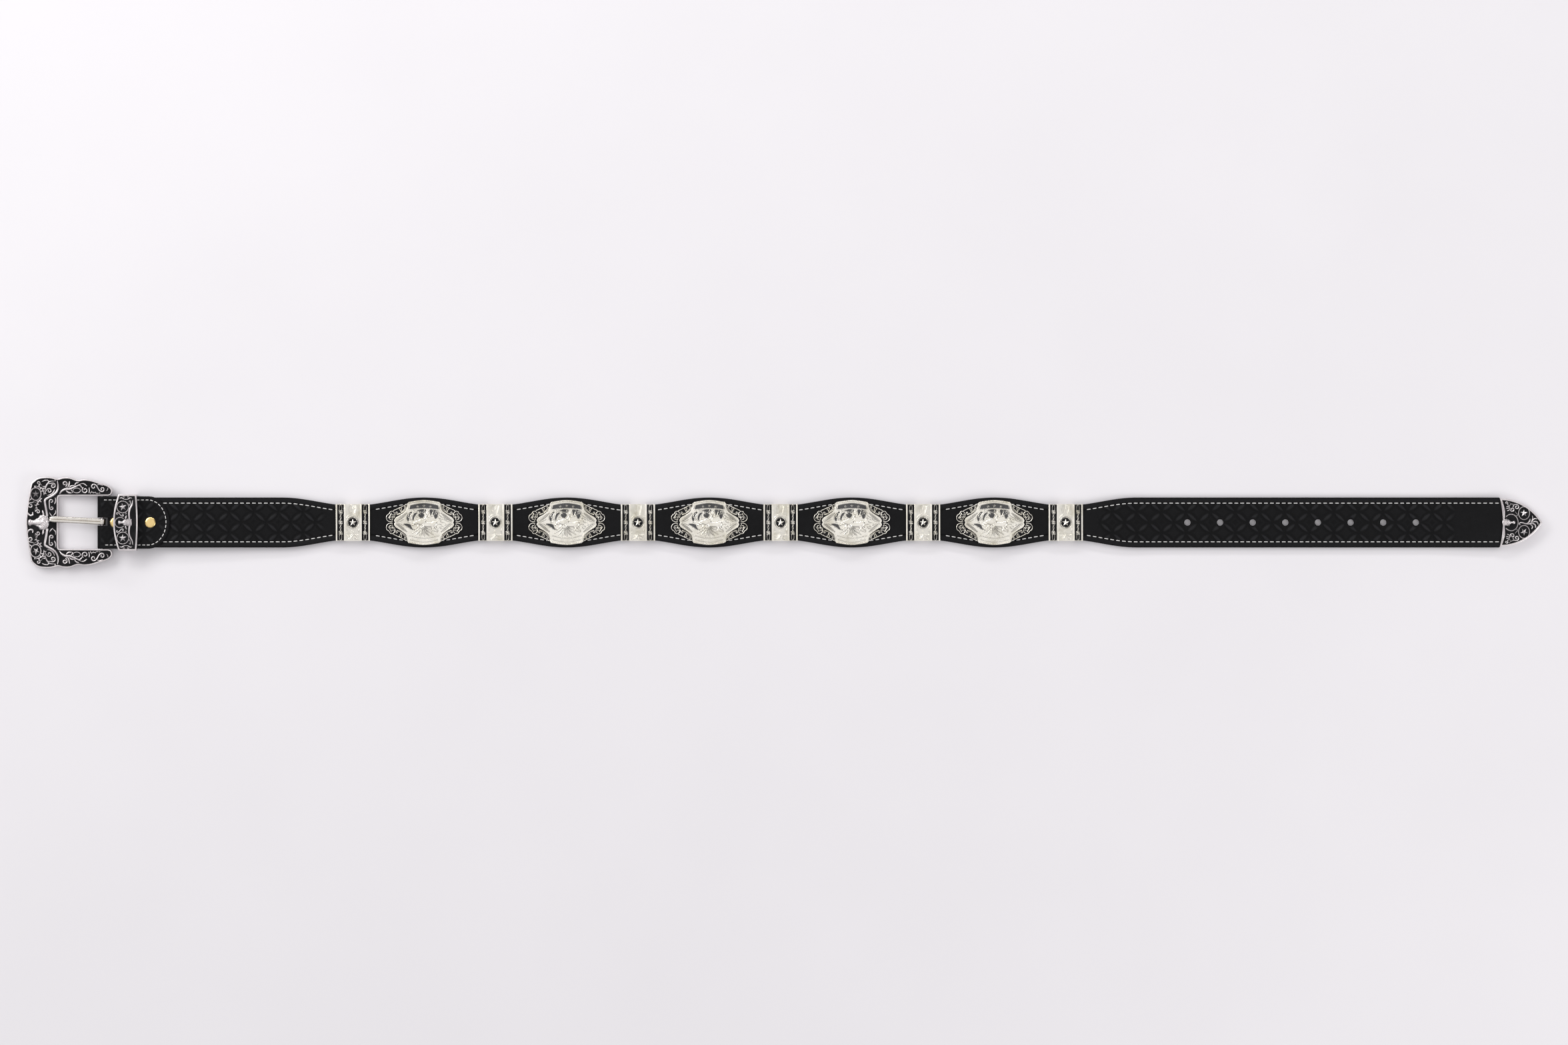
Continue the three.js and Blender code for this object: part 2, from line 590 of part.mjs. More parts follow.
/** A slider: a front plate with ribs, panel and star disc, and a narrower band behind the strap. */
function makeSlider(station, number) {
  const reach = SLIDER_LENGTH / 2;
  const side = SLIDER_WIDTH / 2;
  const leg = SLIDER_LEG_LENGTH / 2;
  const low = LEVEL_TOP + SLIDER_PLAY;
  const floor = low + SLIDER_PLATE;
  const discTop = floor + SLIDER_DISC_HEIGHT;
  const raised = (x0, x1) =>
    block(station + x0, station + x1, -side, side, floor - RELIEF_ROOT, floor + SLIDER_RIB_HEIGHT);
  const strips = [-SLIDER_WIRE, SLIDER_WIRE].map((x) =>
    prism(wireOutline(station + x), floor - RELIEF_ROOT, floor + SLIDER_WIRE_HEIGHT));
  const body = join([
    block(station - reach, station + reach, -side, side, low, floor),
    raised(-reach, -reach + SLIDER_RIB),
    raised(reach - SLIDER_RIB, reach),
    raised(-SLIDER_PANEL / 2, SLIDER_PANEL / 2),
    turned(station, 0, [
      [0, floor], [SLIDER_DISC_RADIUS, floor], [SLIDER_DISC_RADIUS, discTop - 0.15],
      [SLIDER_DISC_RADIUS - 0.7, discTop], [0, discTop],
    ]),
    prism(star(station, 0, 2.9, 90), floor + 0.5, floor + 1.2),
    ...strips,
    block(station - leg, station + leg, -side, -side + SLIDER_WALL, 0, low + RELIEF_ROOT),
    block(station - leg, station + leg, side - SLIDER_WALL, side, 0, low + RELIEF_ROOT),
    block(station - leg, station + leg, -side, side, 0, BACK_STRIP),
  ]);
  return piece(`slider_${number}`, body, SILVER);
}

// Conchos

const conchoStations = () =>
  Array.from({ length: SLIDER_COUNT - 1 }, (_, i) => FIRST_SLIDER + SCALLOP_PITCH * (i + 0.5));

// Quarter outlines from the +X end round to the +Y end.
const CONCHO_BASE_QUARTER = [
  [27.4, 0], [28.5, 1], [29.25, 3.4], [28.8, 5.4], [26.8, 7], [25.7, 8.9], [23.9, 9.2], [12.2, 14.6],
];
const CONCHO_PLATE_QUARTER = [
  [22.2, 0], [22.8, 1.5], [21.4, 3.8], [17.9, 5.9], [14.2, 8.7], [12.6, 12.2], [12.3, 15], [6.2, 16.4], [0, 16.9],
];
const FIGURE_OUTLINE = [
  [-11.2, 0.4], [-8.6, -2.6], [-4.8, -2.2], [-3.6, -6.4], [-1.8, -6.6], [-1, -2.4], [5.2, -1.4], [10.6, -4.6],
  [12, -3.4], [9, 1.4], [6.6, 3.4], [7.6, 8.4], [5.8, 9.2], [3.2, 5.6], [-0.4, 4], [-3.6, 4.6], [-7.6, 2.6],
];

function makeConcho(station, number) {
  const rows = (table) => table.map(([x, y]) => at(x, y));
  const shift = (points) => points.map((p) => at(p.x + station, p.y));
  const top = CONCHO_SEAT + CONCHO_BASE_THICKNESS;
  const outline = shift(fourfold(rows(CONCHO_BASE_QUARTER)));
  const plan = shift(fourfold(rows(CONCHO_PLATE_QUARTER)));
  const base = join([
    prism(outline, CONCHO_SEAT, top),
    drill(station, 0, RIVET_RADIUS, RIVET_HEAD_LOW + 0.05, CONCHO_SEAT + RELIEF_ROOT),
    drill(station, 0, RIVET_HEAD_RADIUS, RIVET_HEAD_LOW, LEVEL_UNDERSIDE - RIVET_HEAD_LOW),
  ]);
  const face = top + CONCHO_PLATE_THICKNESS;
  const rim = inset(plan, CONCHO_RIM_WIDTH);
  const plate = join([
    prism(plan, top, face),
    prism(plan, face - RELIEF_ROOT, face + CONCHO_RIM_HEIGHT, [rim]),
    prism(shift(rows(FIGURE_OUTLINE)), face - RELIEF_ROOT, face + FIGURE_HEIGHT),
  ]);
  return [piece(`concho_base_${number}`, base, ENAMEL), piece(`concho_plate_${number}`, plate, SILVER)];
}

// Tip

/** Half of the tip's width at a station: an arch of two arcs that meet in the point. */
function tipHalfWidth(station) {
  const x = station - TIP_START;
  const radius = (TIP_LENGTH ** 2 + TIP_HALF_WIDTH ** 2) / (2 * TIP_HALF_WIDTH);
  return Math.sqrt(Math.max(radius ** 2 - x ** 2, 0)) - (radius - TIP_HALF_WIDTH);
}

function tipOutline(margin, start) {
  const steps = 10;
  const curve = Array.from({ length: steps }, (_, i) => {
    const station = TIP_START + start + ((TIP_LENGTH - start) * i) / steps;
    return at(station, tipHalfWidth(station) - margin);
  });
  const point = at(BELT_LENGTH - margin * 1.18, 0);
  return { curve: curve.filter((p) => p.y > 0.3), point };
}

const closedTip = ({ curve, point }, middle) => {
  const lower = curve.map((p) => at(p.x, -p.y));
  return [middle, ...lower, point, ...curve.slice().reverse()];
};

const TIP_STARS = [{ x: 18.9, y: 7.4 }];
const TIP_HEAD = [[2.6, 2.5], [6.2, 2.3], [8.2, 1.2], [9.6, 1.3], [11.4, 1.3], [11.9, 0.6]];
const TIP_SCROLLS = [
  { cx: 9, cy: 11.2, radius: 2.6, from: 240, turn: 330 },
  { cx: 13.2, cy: 11.4, radius: 2.4, from: 180, turn: -330 },
];
const TIP_PALMETTE = [
  [[14.6, -1], [18.6, -0.4], [22, -1.2], [25, -0.2], [28.4, -0.8]],
  [[22, -1.2], [24.4, 1], [25, 4.2]],
  [[22, -1.2], [24.6, -2.4], [25, -5]],
];

function makeTip() {
  const floor = TIP_POCKET_TOP + TIP_FRONT;
  const outline = closedTip(tipOutline(0, 0), at(TIP_START + TIP_CONCAVITY, 0));
  const pocket = closedTip(tipOutline(SLIDER_WALL, -1), at(TIP_START - 1, 0));
  const field = closedTip(tipOutline(TIP_RIM_WIDTH, TIP_EDGE_WIDTH), at(TIP_START + TIP_EDGE_WIDTH + TIP_CONCAVITY, 0));
  const raise = (points, height) => prism(points, floor - RELIEF_ROOT, floor + height);
  const local = (x, y) => at(TIP_START + x, y);
  const relief = [1, -1].flatMap((side) => [
    ...TIP_STARS.flatMap(({ x, y }) => [
      prism(circle(TIP_START + x, side * y, 4.4, 5.2), floor - RELIEF_ROOT, floor + TIP_RELIEF,
        [circle(TIP_START + x, side * y, 3.8, 4.6)]),
      raise(star(TIP_START + x, side * y, 2.6, 90), 0.5),
    ]),
    ...TIP_SCROLLS.map((row) => raise(ribbon(
      scroll({ ...row, cx: TIP_START + row.cx, cy: side * row.cy, from: side * row.from, turn: side * row.turn }),
      0.8, 0.5, SCROLL_STEPS), TIP_RELIEF)),
  ]);
  const head = mirrored([...TIP_HEAD].reverse().map(([x, y]) => local(x, y)));
  const body = join([
    cut(prism(outline, 0, floor), [prism(pocket, TIP_BACK, TIP_POCKET_TOP)]),
    prism(outline, floor - RELIEF_ROOT, floor + TIP_RIM_HEIGHT, [field]),
    raise(head, TIP_HEAD_HEIGHT),
    ...TIP_PALMETTE.map((line) => raise(ribbon(line.map(([x, y]) => local(x, y)), 0.6, 1.1, 4), TIP_RELIEF)),
    ...relief,
  ]);
  return piece("tip", body, NICKEL);
}

const belt = new THREE.Group();
belt.position.x = -BELT_LENGTH / 2;
belt.add(
  makeStrap(),
  makeChape(),
  makeFrame(),
  makeProng(),
  makeKeeper(),
  makeTip(),
  ...SNAP_STATIONS.flatMap((station, i) => makeSnap(station, i + 1)),
  ...sliderStations().map((station, i) => makeSlider(station, i + 1)),
  ...conchoStations().flatMap((station, i) => makeConcho(station, i + 1)),
);

const object = new THREE.Group();
object.add(belt);

export default object;
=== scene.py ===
"""A western concho belt laid flat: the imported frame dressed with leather, stitches, cast metal and enamel.

Meshes are made in millimetres, in stations along the belt counted from the buckle's left end, and are placed
in the row frame (metres, middle of the belt at the origin) when a piece is finished.
"""

import logging
import math
import random
from dataclasses import dataclass
from enum import Enum
from typing import Callable, Iterable, Sequence

import bmesh
import bpy
import numpy as np
from mathutils import Matrix, Vector

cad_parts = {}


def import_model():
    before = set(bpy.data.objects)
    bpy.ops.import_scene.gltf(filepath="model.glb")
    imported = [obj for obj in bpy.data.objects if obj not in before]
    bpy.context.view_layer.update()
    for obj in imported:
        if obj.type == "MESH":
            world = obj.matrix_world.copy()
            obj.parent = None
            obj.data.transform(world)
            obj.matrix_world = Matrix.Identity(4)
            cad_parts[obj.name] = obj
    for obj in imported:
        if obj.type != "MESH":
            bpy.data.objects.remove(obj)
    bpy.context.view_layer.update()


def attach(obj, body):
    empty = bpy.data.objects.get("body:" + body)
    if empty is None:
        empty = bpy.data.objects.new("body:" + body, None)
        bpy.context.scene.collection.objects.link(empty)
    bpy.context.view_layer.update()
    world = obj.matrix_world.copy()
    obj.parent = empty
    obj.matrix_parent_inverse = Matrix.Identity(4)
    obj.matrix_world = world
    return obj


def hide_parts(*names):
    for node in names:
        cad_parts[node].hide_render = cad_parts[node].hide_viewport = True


LOG = logging.getLogger("belt")

Point = tuple[float, float]
Path = Sequence[Point]

BELT_LENGTH = 1152.0
STRAP_THICKNESS = 3.4
BAR_STATION = 58.1
BAR_HEIGHT = 5.25
FIRST_SLIDER = 248.5
SCALLOP_PITCH = 108.3
SLIDER_COUNT = 6
LAST_SLIDER = FIRST_SLIDER + SCALLOP_PITCH * (SLIDER_COUNT - 1)
CHAPE_END = 109.6
TIP_START = 1119.8
FINE_STROKE = 1.3
FIRST_HOLE = 882.6
HOLE_PITCH = 24.8
HOLE_COUNT = 8
HOLE_STATIONS = tuple(FIRST_HOLE + HOLE_PITCH * i for i in range(HOLE_COUNT))
SNAP_STATIONS = (68.4, 94.8)
TO_ROW = Matrix.Scale(0.001, 4) @ Matrix.Translation((-BELT_LENGTH / 2, 0, 0))


class Body(Enum):
    """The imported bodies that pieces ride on."""

    BELT = "belt"
    BUCKLE = "buckle"
    PRONG = "prong"
    KEEPER = "keeper"


class Slot(Enum):
    """Material slot names that the finishes carry."""

    LEATHER = "strap_leather"
    NICKEL = "antique_nickel"
    PRONG = "bright_nickel"
    SILVER = "bright_silver"
    ENAMEL = "black_enamel"
    BRASS = "brass"


class Sock:
    """A shader socket whose arithmetic adds Math nodes."""

    def __init__(self, tree: "Tree", socket: bpy.types.NodeSocket) -> None:
        """Wraps a socket of a tree."""
        self.tree, self.socket = tree, socket

    def _math(self, operation: str, first: "Sock | float", second: "Sock | float") -> "Sock":
        """One Math node on two values."""
        return self.tree.add("ShaderNodeMath", {"operation": operation}, {0: first, 1: second})

    def __add__(self, other: "Sock | float") -> "Sock":
        """self + other."""
        return self._math("ADD", self, other)

    def __mul__(self, other: "Sock | float") -> "Sock":
        """self * other."""
        return self._math("MULTIPLY", self, other)

    def __sub__(self, other: "Sock | float") -> "Sock":
        """self - other."""
        return self._math("SUBTRACT", self, other)


class Tree:
    """A node tree under construction."""

    def __init__(self, tree: bpy.types.NodeTree) -> None:
        """Starts with an empty tree."""
        self.tree = tree
        tree.nodes.clear()

    def add(self, kind: str, settings: dict[str, object] | None = None,
            inputs: dict[int | str, object] | None = None, out: int | str = 0) -> Sock:
        """Adds one node.

        Args:
            kind: The node's type name.
            settings: Its settings, set first; "stops" gives a ramp's (position, colour) pairs.
            inputs: Values or Socks for its sockets, by number or name.
            out: The output wanted, by number or name.

        Returns:
            The output as a Sock.
        """
        node = self.tree.nodes.new(kind)
        for key, value in (settings or {}).items():
            if key == "stops":
                ramp = node.color_ramp.elements
                while len(ramp) < len(value):
                    ramp.new(0.5)
                for stop, (position, colour) in zip(ramp, value):
                    stop.position, stop.color = position, colour
            else:
                setattr(node, key, value)
        for key, value in (inputs or {}).items():
            if isinstance(value, Sock):
                self.tree.links.new(value.socket, node.inputs[key])
            else:
                node.inputs[key].default_value = value
        return Sock(self, node.outputs[out]) if len(node.outputs) else Sock(self, None)

    def noise(self, where: Sock, scale: float, detail: float = 3.0, rough: float = 0.55) -> Sock:
        """A noise pattern in cells of 1/scale metres."""
        return self.add("ShaderNodeTexNoise", {}, {"Vector": where, "Scale": scale, "Detail": detail,
                                                   "Roughness": rough}, 0)

    def blend(self, factor: Sock, low: Sequence[float], high: Sequence[float]) -> Sock:
        """A colour between two, as a ramp of a factor."""
        return self.add("ShaderNodeValToRGB", {"stops": [(0.0, (*low, 1)), (1.0, (*high, 1))]}, {0: factor})


def surface(name: str, paint: Callable[[Tree, Sock], dict[int | str, object]]) -> bpy.types.Material:
    """Makes a material.

    Args:
        name: The material's name.
        paint: Returns the shader's socket values from the tree and the object coordinates.

    Returns:
        The material.
    """
    material = bpy.data.materials.new(name)
    material.use_nodes = True
    tree = Tree(material.node_tree)
    where = tree.add("ShaderNodeTexCoord", {}, {}, "Object")
    shader = tree.add("ShaderNodeBsdfPrincipled", {}, paint(tree, where))
    tree.add("ShaderNodeOutputMaterial", {}, {"Surface": shader})
    return material


def bumped(tree: Tree, height: Sock, strength: float, depth: float) -> Sock:
    """A normal from a height, whose full step is depth metres."""
    return tree.add("ShaderNodeBump", {}, {"Strength": strength, "Distance": depth, "Height": height},
                    "Normal")


@dataclass(frozen=True)
class Leather:
    """Dyed full-grain leather with creases, pores, rubbed light patches, and painted light and shade that
    follow its embossed relief.
    """

    name: str
    slot: Slot = Slot.LEATHER
    dark: tuple[float, float, float] = (0.0022, 0.0022, 0.0026)
    light: tuple[float, float, float] = (0.015, 0.015, 0.0165)
    roughness: float = 0.46
    gloss: float = 0.13
    grain: float = 900.0

    def material(self) -> bpy.types.Material:
        """Builds the material.

        Returns:
            The material.
        """
        def paint(tree: Tree, where: Sock) -> dict[int | str, object]:
            """The shader's values."""
            patches = tree.noise(where, 38, 4)
            pores = tree.noise(where, self.grain * 2.4, 3)
            cells = tree.add("ShaderNodeTexVoronoi", {"feature": "SMOOTH_F1"},
                             {"Vector": where, "Scale": self.grain}, "Distance")
            creases = tree.noise(where, 260, 5, 0.65)
            # Painted light and shade: the emboss height lightens raised petals in the colour and darkens the
            # stitch groove, rounded edges and hole rims.
            press = tree.add("ShaderNodeAttribute", {"attribute_name": "press"}, {}, "Fac")
            tone = (patches * 0.5 + creases * 0.4 + pores * 0.3 - 0.42) * 0.9 + press * 2.4
            height = cells * 0.9 + pores * 0.5 + creases * 0.8
            return {"Base Color": tree.blend(tone, self.dark, self.light),
                    "Roughness": patches * 0.22 + (self.roughness - 0.11) + cells * 0.08 - press * 0.2,
                    "Specular IOR Level": self.gloss,
                    "Normal": bumped(tree, height, 0.55, 0.00022)}
        return surface(self.name, paint)


@dataclass(frozen=True)
class Cast:
    """Cast or rolled metal with tarnish, fine pits and soft polishing marks, darkened low on its relief by
    blackened patina together with painted shade.
    """

    name: str
    slot: Slot
    bright: tuple[float, float, float]
    worn: tuple[float, float, float]
    roughness: float = 0.24
    pits: float = 0.35
    # The dark colour low on the relief: blackened patina together with painted shade.
    low: tuple[float, float, float] = (0.03, 0.029, 0.03)
    tooling: float = 0.0

    def material(self) -> bpy.types.Material:
        """Builds the material.

        Returns:
            The material.
        """
        def paint(tree: Tree, where: Sock) -> dict[int | str, object]:
            """The shader's values."""
            clouds = tree.noise(where, 95, 4)
            fine = tree.noise(where, 1500, 3, 0.6)
            tarnish = (clouds - 0.42) * 2.6 + (fine - 0.5) * 0.5
            polished = tree.blend(tarnish, self.bright, self.worn)
            # Painted shade with patina: where lift is low, at the foot of the relief strokes, the colour
            # turns to the dark one.
            lift = tree.add("ShaderNodeAttribute", {"attribute_name": "lift"}, {}, "Fac")
            patina_and_painted_shade = tree.add("ShaderNodeMix", {"data_type": "RGBA"},
                             {0: lift + (fine - 0.5) * 0.3, 6: (*self.low, 1.0), 7: polished}, 2)
            height = fine + clouds * 2.0
            if self.tooling:
                cells = tree.add("ShaderNodeTexVoronoi", {"feature": "SMOOTH_F1"},
                                 {"Vector": where, "Scale": 1500.0}, "Distance")
                strikes = tree.add("ShaderNodeTexWave", {"bands_direction": "DIAGONAL"},
                                   {"Vector": where, "Scale": 300.0, "Distortion": 26.0, "Detail": 3.0,
                                    "Detail Scale": 1.6}, 1)
                height = height + (cells * 1.8 + strikes * 0.7) * self.tooling
            return {"Base Color": patina_and_painted_shade,
                    "Metallic": 1.0,
                    "Roughness": clouds * 0.16 + fine * 0.08 + (self.roughness - 0.1),
                    "Normal": bumped(tree, height, self.pits, 0.00012)}
        return surface(self.name, paint)


@dataclass(frozen=True)
class Enamel:
    """Black enamel fill, slightly uneven and worn dull in places."""

    name: str
    slot: Slot = Slot.ENAMEL
    dark: tuple[float, float, float] = (0.0035, 0.0035, 0.0042)
    dull: tuple[float, float, float] = (0.02, 0.019, 0.021)
    roughness: float = 0.34

    def material(self) -> bpy.types.Material:
        """Builds the material.

        Returns:
            The material.
        """
        def paint(tree: Tree, where: Sock) -> dict[int | str, object]:
            """The shader's values."""
            clouds = tree.noise(where, 160, 4)
            specks = tree.noise(where, 1900, 2)
            wear = (clouds - 0.45) * 2.2 + (specks - 0.5) * 1.2
            return {"Base Color": tree.blend(wear, self.dark, self.dull),
                    "Roughness": clouds * 0.25 + (self.roughness - 0.12),
                    "Specular IOR Level": 0.14,
                    "Normal": bumped(tree, specks + clouds, 0.3, 0.0001)}
        return surface(self.name, paint)


@dataclass(frozen=True)
class Thread:
    """Waxed white thread with a visible twist."""

    name: str
    slot: Slot = Slot.LEATHER
    pale: tuple[float, float, float] = (0.86, 0.85, 0.83)
    grey: tuple[float, float, float] = (0.6, 0.59, 0.57)

    def material(self) -> bpy.types.Material:
        """Builds the material.

        Returns:
            The material.
        """
        def paint(tree: Tree, where: Sock) -> dict[int | str, object]:
            """The shader's values."""
            soil = tree.noise(where, 520, 3)
            twist = tree.add("ShaderNodeTexWave", {"bands_direction": "DIAGONAL"},
                             {"Vector": where, "Scale": 620.0, "Distortion": 0.6}, 1)
            return {"Base Color": tree.blend(twist * 0.5 + soil * 0.6, self.grey, self.pale),
                    "Roughness": soil * 0.2 + 0.6,
                    "Normal": bumped(tree, twist, 0.7, 0.00015)}
        return surface(self.name, paint)


Finish = Leather | Cast | Enamel | Thread
STRAP_LEATHER = Leather("strap_leather_black")
CHAPE_LEATHER = Leather("chape_leather_black", light=(0.013, 0.013, 0.0145), roughness=0.47)
NICKEL = Cast("antique_nickel_cast", Slot.NICKEL, (0.74, 0.7, 0.7), (0.44, 0.4, 0.41), 0.27, 0.5)
PRONG_METAL = Cast("bright_nickel_rolled", Slot.PRONG, (0.76, 0.73, 0.68), (0.6, 0.56, 0.5), 0.2, 0.25)
SILVER = Cast("bright_silver_cast", Slot.SILVER, (0.9, 0.87, 0.79), (0.66, 0.62, 0.5), 0.2, 0.6)
ENGRAVED = Cast("engraved_silver_cast", Slot.SILVER, (0.9, 0.87, 0.79), (0.62, 0.58, 0.47), 0.25, 0.6,
                tooling=0.45)
# Silver whose mirror's dark reflection is painted into its colour, for the concho plate's polished fields.
DARK_SILVER = Cast("painted_dark_reflection_silver", Slot.SILVER, (0.1, 0.1, 0.1), (0.045, 0.044, 0.045), 0.26, 0.35)
BRASS = Cast("polished_brass", Slot.BRASS, (0.88, 0.66, 0.3), (0.78, 0.54, 0.2), 0.2, 0.2)
BLACK = Enamel("black_enamel_fill")
WHITE_THREAD = Thread("white_waxed_thread")


@dataclass(frozen=True)
class Stroke:
    """One raised stroke of ornament: a path, widths spread evenly along it, and a ball at its end."""

    points: tuple[Point, ...]
    widths: tuple[float, ...] = (0.3, 1.1, 0.4)
    knob: float = 0.0

    def flipped(self) -> "Stroke":
        """The stroke on the other side of the belt's centre line."""
        return Stroke(tuple((x, -y) for x, y in self.points), self.widths, self.knob)

    def turned(self) -> "Stroke":
        """The stroke mirrored left to right."""
        return Stroke(tuple((-x, y) for x, y in self.points), self.widths, self.knob)

    def moved(self, x: float, y: float) -> "Stroke":
        """The stroke shifted by (x, y)."""
        return Stroke(tuple((px + x, py + y) for px, py in self.points), self.widths, self.knob)


def line(*points: Point, w: tuple[float, ...] = (0.3, 1.1, 0.4), knob: float = 0.0) -> Stroke:
    """A stroke through points."""
    return Stroke(tuple(points), w, knob)


def bend(a: Point, b: Point, leave: float, arrive: float) -> list[Point]:
    """The inner points of a smooth curve between a and b, with its headings there in degrees.

    Args:
        a, b: The curve's ends.
        leave, arrive: The headings.

    Returns:
        The points.
    """
    reach = math.hypot(b[0] - a[0], b[1] - a[1]) * 0.42
    one, two = math.radians(leave), math.radians(arrive)
    c = (a[0] + reach * math.cos(one), a[1] + reach * math.sin(one))
    d = (b[0] - reach * math.cos(two), b[1] - reach * math.sin(two))
    return [tuple((1 - t) ** 3 * p + 3 * t * (1 - t) ** 2 * q + 3 * t * t * (1 - t) * r + t ** 3 * s
                  for p, q, r, s in zip(a, c, d, b)) for t in (0.2, 0.4, 0.6, 0.8)]


def curl(cx: float, cy: float, radius: float, start: float, turn: float, width: float = 0.9,
         lead: Path = ()) -> Stroke:
    """A scroll that winds in around a centre and ends in a ball.

    Args:
        cx, cy: Its centre.
        radius: Its outer radius.
        start: The angle in degrees where it starts.
        turn: How far it turns, positive anticlockwise.
        width: Its widest stroke.
        lead: Points that run up to its start.

    Returns:
        The stroke.
    """
    steps = max(6, int(abs(turn) / 32))
    spiral = []
    for i in range(steps + 1):
        t = i / steps
        angle, reach = math.radians(start + turn * t), radius * (1 - 0.68 * t)
        spiral.append((cx + reach * math.cos(angle), cy + reach * math.sin(angle)))
    if not lead:
        return Stroke(tuple(spiral), (width * 0.6, width, width * 0.7), width * 0.42)
    (bx, by), (ax, ay) = lead[-1], lead[-2] if len(lead) > 1 else spiral[0]
    sign = 1 if len(lead) > 1 else -1
    run = bend(lead[-1], spiral[0], math.degrees(math.atan2(sign * (by - ay), sign * (bx - ax))),
               start + math.copysign(90, turn))
    return Stroke((*lead, *run, *spiral), (0.3, width * 0.8, width, width * 0.7), width * 0.42)


def double_scroll(a: Point, b: Point, radius: float, spin: int = 1, twist: int = -1,
                  width: float = 0.7) -> Stroke:
    """A line with a scroll at each end.

    Args:
        a, b: The scrolls' centres.
        radius: Their radius.
        spin: 1 or -1, the side that the line leaves the first scroll from.
        twist: -1 for an S, whose scrolls lie on opposite sides of the line, 1 for a C.
        width: The widest stroke.

    Returns:
        The stroke.
    """
    heading = math.degrees(math.atan2(b[1] - a[1], b[0] - a[0]))
    one = curl(*a, radius, heading + 90 * spin, 330 * spin, width)
    two = curl(*b, radius, heading + 90 * spin * twist, -330 * spin * twist, width)
    run = bend(one.points[0], two.points[0], heading, heading)
    return Stroke((*reversed(one.points), *run, *two.points),
                  (width * 0.6, width * 0.9, width, width * 0.9, width * 0.6),
                  width * 0.4)


def leaf(*points: Point, w: float = 1.3) -> Stroke:
    """A comma-shaped leaf that swells towards its round end."""
    return Stroke(tuple(points), (0.3, w * 0.8, w, w * 0.7), w * 0.36)


def spray(points: Path, reach: float, count: int, w: float = 1.2,
          sides: Sequence[int] = (1, -1)) -> list[Stroke]:
    """A stem with plump curled leaves on its sides.

    Args:
        points: The stem.
        reach: The longest leaf.
        count: How many leaves each side has.
        w: The leaves' width.
        sides: 1 for the left side of the stem, -1 for the right.

    Returns:
        The strokes.
    """
    vein = smooth_path(points, per=6)
    found = [Stroke(tuple(points), (0.4, w, w * 0.9, 0.3))]
    for i in range(count):
        for side in sides:
            t = (i + 0.45 + 0.22 * side) / count
            k = min(int(t * (len(vein) - 1)), len(vein) - 2)
            (ax, ay), (bx, by) = vein[k], vein[k + 1]
            heading = math.atan2(by - ay, bx - ax)
            size = reach * (1 - 0.45 * t)
            path = [(ax, ay)]
            for share, angle in ((0.4, 30), (0.4, 62), (0.35, 118)):
                turn = heading + side * math.radians(angle)
                path.append((path[-1][0] + size * share * math.cos(turn),
                             path[-1][1] + size * share * math.sin(turn)))
            found.append(leaf(*path, w=w))
    return found


def plume(points: Path, reach: float, barbs: int, width: float = 0.55, sides: Sequence[int] = (1, -1),
          sweep: float = 38.0) -> list[Stroke]:
    """A feathered leaf: a vein with curved barbs that shorten towards both ends.

    Args:
        points: The vein.
        reach: The longest barb.
        barbs: How many barbs each side has.
        width: The vein's width.
        sides: 1 for the left side of the vein, -1 for the right.
        sweep: The barbs' angle to the vein in degrees.

    Returns:
        The strokes.
    """
    vein = smooth_path(points, per=6)
    found = [Stroke(tuple(points), (width, width * 0.9, width * 0.4))]
    for i in range(barbs):
        t = (i + 0.6) / (barbs + 0.4)
        k = min(int(t * (len(vein) - 1)), len(vein) - 2)
        (ax, ay), (bx, by) = vein[k], vein[k + 1]
        heading = math.atan2(by - ay, bx - ax)
        size = reach * (0.45 + 0.55 * math.sin(math.pi * min(1.0, t * 1.1)))
        for side in sides:
            one, two = heading + side * math.radians(sweep), heading + side * math.radians(sweep * 0.45)
            mid = (ax + size * 0.55 * math.cos(one), ay + size * 0.55 * math.sin(one))
            end = (mid[0] + size * 0.5 * math.cos(two), mid[1] + size * 0.5 * math.sin(two))
            found.append(Stroke(((ax, ay), mid, end), (width * 0.45, width * 0.85, 0.12)))
    return found


def hair(cx: float, cy: float, rx: float, ry: float, count: int, seed: int,
         width: float = 0.45) -> list[Stroke]:
    """Short curls scattered over an ellipse.

    Args:
        cx, cy, rx, ry: The ellipse's middle and half axes.
        count: How many curls.
        seed: Fixes their turns and sizes.
        width: Their width.

    Returns:
        The curls.
    """
    dice = random.Random(seed)
    found = []
    for i in range(count):
        angle, reach = 2.4 * i, math.sqrt((i + 0.5) / count)
        x, y = cx + rx * reach * math.cos(angle), cy + ry * reach * math.sin(angle)
        size = width * dice.uniform(1.2, 2.0)
        found.append(curl(x, y, size, dice.uniform(0, 360), dice.choice((-1, 1)) * dice.uniform(130, 250),
                          width * 1.2))
    return found


def smooth_path(points: Path, closed: bool = False, per: int = 4) -> list[Point]:
    """A Catmull-Rom line through points, with per steps between two of them.

    Args:
        points: The points.
        closed: Whether the last joins the first.
        per: The steps.

    Returns:
        The line.
    """
    count = len(points)
    found: list[Point] = []
    for i in range(count if closed else count - 1):
        near = [points[(i + k) % count] if closed else points[min(max(i + k, 0), count - 1)]
                for k in (-1, 0, 1, 2)]
        for step in range(per):
            t = step / per
            found.append(tuple(0.5 * (2 * b + (c - a) * t + (2 * a - 5 * b + 4 * c - d) * t * t
                                      + (3 * b - a - 3 * c + d) * t ** 3) for a, b, c, d in zip(*near)))
    return found if closed else [*found, tuple(points[-1])]


